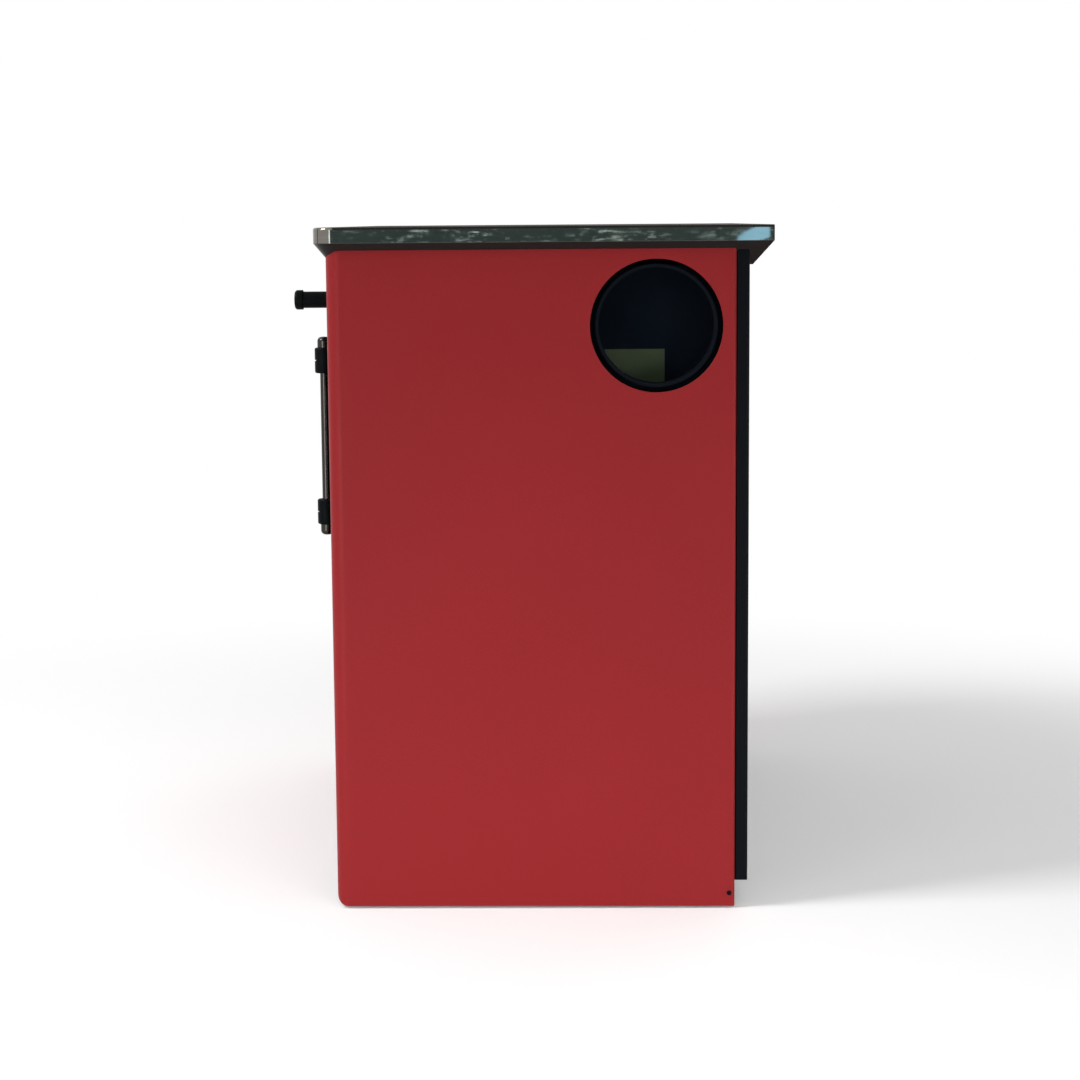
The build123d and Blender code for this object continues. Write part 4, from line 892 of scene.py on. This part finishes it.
# Fasteners on the backs of the doors
MOUNT_INSET = 17.5
CLIP_INSET = 8.0
LINER_SIDE_INSET = 15.0
LINER_END_INSET = 13.0
mount_x = middle("firebox_handle_mounts").x
low, high = corners("firebox_handle_mounts")
mount_places = [at(mount_x, LEAF_BACK, z) for z in (low.z + MOUNT_INSET, high.z - MOUNT_INSET)]
bolts("firebox_handle_bolts", mount_places, "rear", radius=4.6, body="firebox_door")
clip_back = corners("firebox_glass_clips")[1].y
clip_x, _, clip_z = middle("firebox_glass_clips")
half_x, half_z = half_sizes("firebox_glass_clips", CLIP_INSET)
clip_places = [at(clip_x + shift, clip_back, clip_z) for shift in (-half_x, half_x)]
clip_places += [at(clip_x, clip_back, clip_z + shift) for shift in (-half_z, half_z)]
screws("glass_clip_screws", clip_places, "rear", radius=2.6, body="firebox_door")
low, high = corners("oven_door_liner")
liner_columns = (low.x + LINER_SIDE_INSET, high.x - LINER_SIDE_INSET)
liner_rows = (low.z + LINER_END_INSET, (low.z + high.z) / 2, high.z - LINER_END_INSET)
liner_places = [at(x, high.y, z) for x in liner_columns for z in liner_rows]
screws("oven_liner_screws", liner_places, "rear", radius=3.6, body="oven_door")

# Floor and world: their sizes, and those of the lamps and cards, are in metres
WHITE = (1.0, 1.0, 1.0)
PAPER_WHITE = (0.90, 0.90, 0.90)
FLOOR_HALF = 30.0
FLOOR_NEAR = 0.9
FLOOR_FAR = 1.9
FLOOR_LIFT = 0.19
FLOOR_BOUNCE = 0.6
AMBIENT = 0.38


def paper(name):
    """White paper that glows a little for the camera, and becomes plain white light with distance."""
    s = Shader(name)
    rays = s.node("ShaderNodeLightPath").outputs
    diffuse = s.node("ShaderNodeBsdfDiffuse", Color=PAPER_WHITE)
    lift = s.math("MULTIPLY", rays["Is Camera Ray"], FLOOR_LIFT)
    near = s.node("ShaderNodeAddShader")
    s.link(diffuse.outputs["BSDF"], near.inputs[0])
    s.link(s.node("ShaderNodeEmission", Strength=lift).outputs["Emission"], near.inputs[1])
    bounce = s.span(rays["Is Diffuse Ray"], 1.0, FLOOR_BOUNCE, start=0.0, end=1.0)
    far = s.node("ShaderNodeEmission", Strength=bounce)
    reach = s.vector_math("LENGTH", s.place)
    fade = s.span(reach, 0.0, 1.0, FLOOR_NEAR, FLOOR_FAR, kind="SMOOTHSTEP")
    s.surface(s.blend(fade, near.outputs["Shader"], far.outputs["Emission"]))
    return s.material


build = bmesh.new()
quarters = ((-1, -1), (1, -1), (1, 1), (-1, 1))
build.faces.new([build.verts.new((x * FLOOR_HALF, y * FLOOR_HALF, 0.0)) for x, y in quarters])
floor = add_mesh("floor", build, paper("floor_paper"))

# The world is white to the camera, in reflections and through glass, and lights the rest more dimly
world = bpy.data.worlds.new("studio")
scene.world = world
world.use_nodes = True
sky = Nodes(world.node_tree)
sky.tree.nodes.clear()
rays = sky.node("ShaderNodeLightPath").outputs
seen = sky.math("MAXIMUM", rays["Is Camera Ray"], rays["Is Glossy Ray"])
seen = sky.math("MAXIMUM", seen, rays["Is Transmission Ray"])
bright = sky.node("ShaderNodeBackground", Color=WHITE, Strength=1.0)
dim = sky.node("ShaderNodeBackground", Color=WHITE, Strength=AMBIENT)
shown = sky.blend(seen, dim.outputs["Background"], bright.outputs["Background"])
sky.node("ShaderNodeOutputWorld", Surface=shown)

# Lamps
STOVE_MIDDLE = (0.0, 0.0, 0.4)
LOW_SPREAD = 60.0


def softbox(name, place, target, size, power, spread=180.0):
    """A large square lamp aimed at a point."""
    lamp = bpy.data.lights.new(name, "AREA")
    lamp.shape = "SQUARE"
    lamp.size = size
    lamp.energy = power
    lamp.spread = math.radians(spread)
    lamp_object = bpy.data.objects.new(name, lamp)
    scene.collection.objects.link(lamp_object)
    lamp_object.location = place
    aim = Vector(target) - Vector(place)
    lamp_object.rotation_euler = aim.to_track_quat("-Z", "Y").to_euler()
    lamp_object.visible_camera = False


softbox("key", (5.0, 0.6, 4.2), (0.2, 0.0, 0.4), size=3.0, power=31)
softbox("low_right", (2.3, 1.25, 0.25), (0.44, 0.05, -0.1), size=0.8, power=2.7, spread=LOW_SPREAD)
softbox("low_left", (2.3, -1.10, 0.25), (0.44, -0.05, -0.1), size=0.8, power=1.85, spread=LOW_SPREAD)
softbox("front", (1.3, -2.9, 3.3), STOVE_MIDDLE, size=1.3, power=110)
softbox("back_left", (-4.2, 2.2, 3.0), STOVE_MIDDLE, size=4.5, power=60)

# Cards that stand for the room in the frame's reflections
CARD_STEPS = 24
ROOM_GREEN = (0.15, 0.225, 0.23)
ROOM_GREY = (0.10, 0.10, 0.10)
FLECK = (2.2, 2.9, 2.9)
PALE_BLUE = (0.72, 0.95, 1.0)
SKY_BLUE = (0.36, 0.72, 1.0)
COOKING_HEIGHT = frame_high.z * MM


def card(name, columns, colour, strength=1.0, flecks=None):
    """A card skinned over columns of points, which only reflections see, with or without pale flecks."""
    s = Shader(name)
    shine = s.node("ShaderNodeEmission", Color=colour, Strength=strength)
    if flecks:
        spots = s.span(s.noise(22, rough=0.6, stretch=(1, 1, 9)), 0.0, 1.0, start=0.59, end=0.65)
        clumps = s.span(s.noise(2.6, detail=2.0), 0.15, 1.0, start=0.36, end=0.54)
        s.link(s.mix(s.math("MULTIPLY", spots, clumps), colour, flecks), shine.inputs["Color"])
    s.surface(shine.outputs["Emission"])
    build = bmesh.new()
    posts = [[build.verts.new(point) for point in column] for column in columns]
    for first, second in zip(posts, posts[1:]):
        build.faces.new((first[0], second[0], second[1], first[1]))
    board = add_mesh(name, build, s.material)
    board.visible_camera = False
    board.visible_diffuse = False
    board.visible_transmission = False
    board.visible_shadow = False


def upright(azimuths, radius, heights, last_heights=None):
    """Columns of an upright curved card, its heights changing along it; azimuths run from +X to +Y."""
    columns = []
    for step in range(CARD_STEPS + 1):
        along = step / CARD_STEPS
        angle = math.radians(azimuths[0] + (azimuths[1] - azimuths[0]) * along)
        x, y = radius * math.cos(angle), radius * math.sin(angle)
        pairs = zip(heights, last_heights or heights)
        columns.append([(x, y, first + (last - first) * along) for first, last in pairs])
    return columns


def arch(angles, radius, half_width):
    """Columns of a card bent over the stove from the +X side to the -X side."""
    columns = []
    for step in range(CARD_STEPS + 1):
        angle = math.radians(angles[0] + (angles[1] - angles[0]) * step / CARD_STEPS)
        x, z = radius * math.cos(angle), COOKING_HEIGHT + radius * math.sin(angle)
        columns.append([(x, -half_width, z), (x, half_width, z)])
    return columns


room = upright((-20.0, 62.0), radius=4.6, heights=(0.0, 1.9))
fleck_band = upright((-14.0, 9.0), radius=4.58, heights=(0.74, 0.88))
strip = upright((-24.0, -21.5), radius=4.5, heights=(0.1, 1.6))
sky_patch = upright((6.45, 7.6), radius=4.5, heights=(0.780, 0.806), last_heights=(0.802, 0.86))
overhead = arch((13.0, 184.0), radius=4.4, half_width=0.9)
card("dark_card", room, ROOM_GREEN)
card("fleck_card", fleck_band, ROOM_GREEN, flecks=FLECK)
card("strip_card", strip, PALE_BLUE, strength=5.5)
card("sky_card", sky_patch, SKY_BLUE, strength=3.6)
card("arch_card", overhead, ROOM_GREY)

# Camera at the photograph's place and angle
CAMERA_PLACE = at(3307.0, 324.5, 857.0)
YAW = math.radians(1.30)
PITCH = math.radians(7.74)
ROLL = math.radians(-0.44)
FOCAL_PIXELS = 2353.0
IMAGE_PIXELS = 1080.0
SENSOR = 36.0
forward = Vector((-math.cos(PITCH) * math.cos(YAW), -math.cos(PITCH) * math.sin(YAW), -math.sin(PITCH)))
right = forward.cross(Vector((0, 0, 1))).normalized()
up = right.cross(forward)
rolled_right = math.cos(ROLL) * right + math.sin(ROLL) * up
rolled_up = -math.sin(ROLL) * right + math.cos(ROLL) * up
camera_data = bpy.data.cameras.new("camera")
camera_data.sensor_width = SENSOR
camera_data.lens = FOCAL_PIXELS / IMAGE_PIXELS * SENSOR
camera = bpy.data.objects.new("camera", camera_data)
scene.collection.objects.link(camera)
turn = Matrix((rolled_right, rolled_up, -forward)).transposed().to_4x4()
camera.matrix_world = Matrix.Translation(CAMERA_PLACE) @ turn
scene.camera = camera
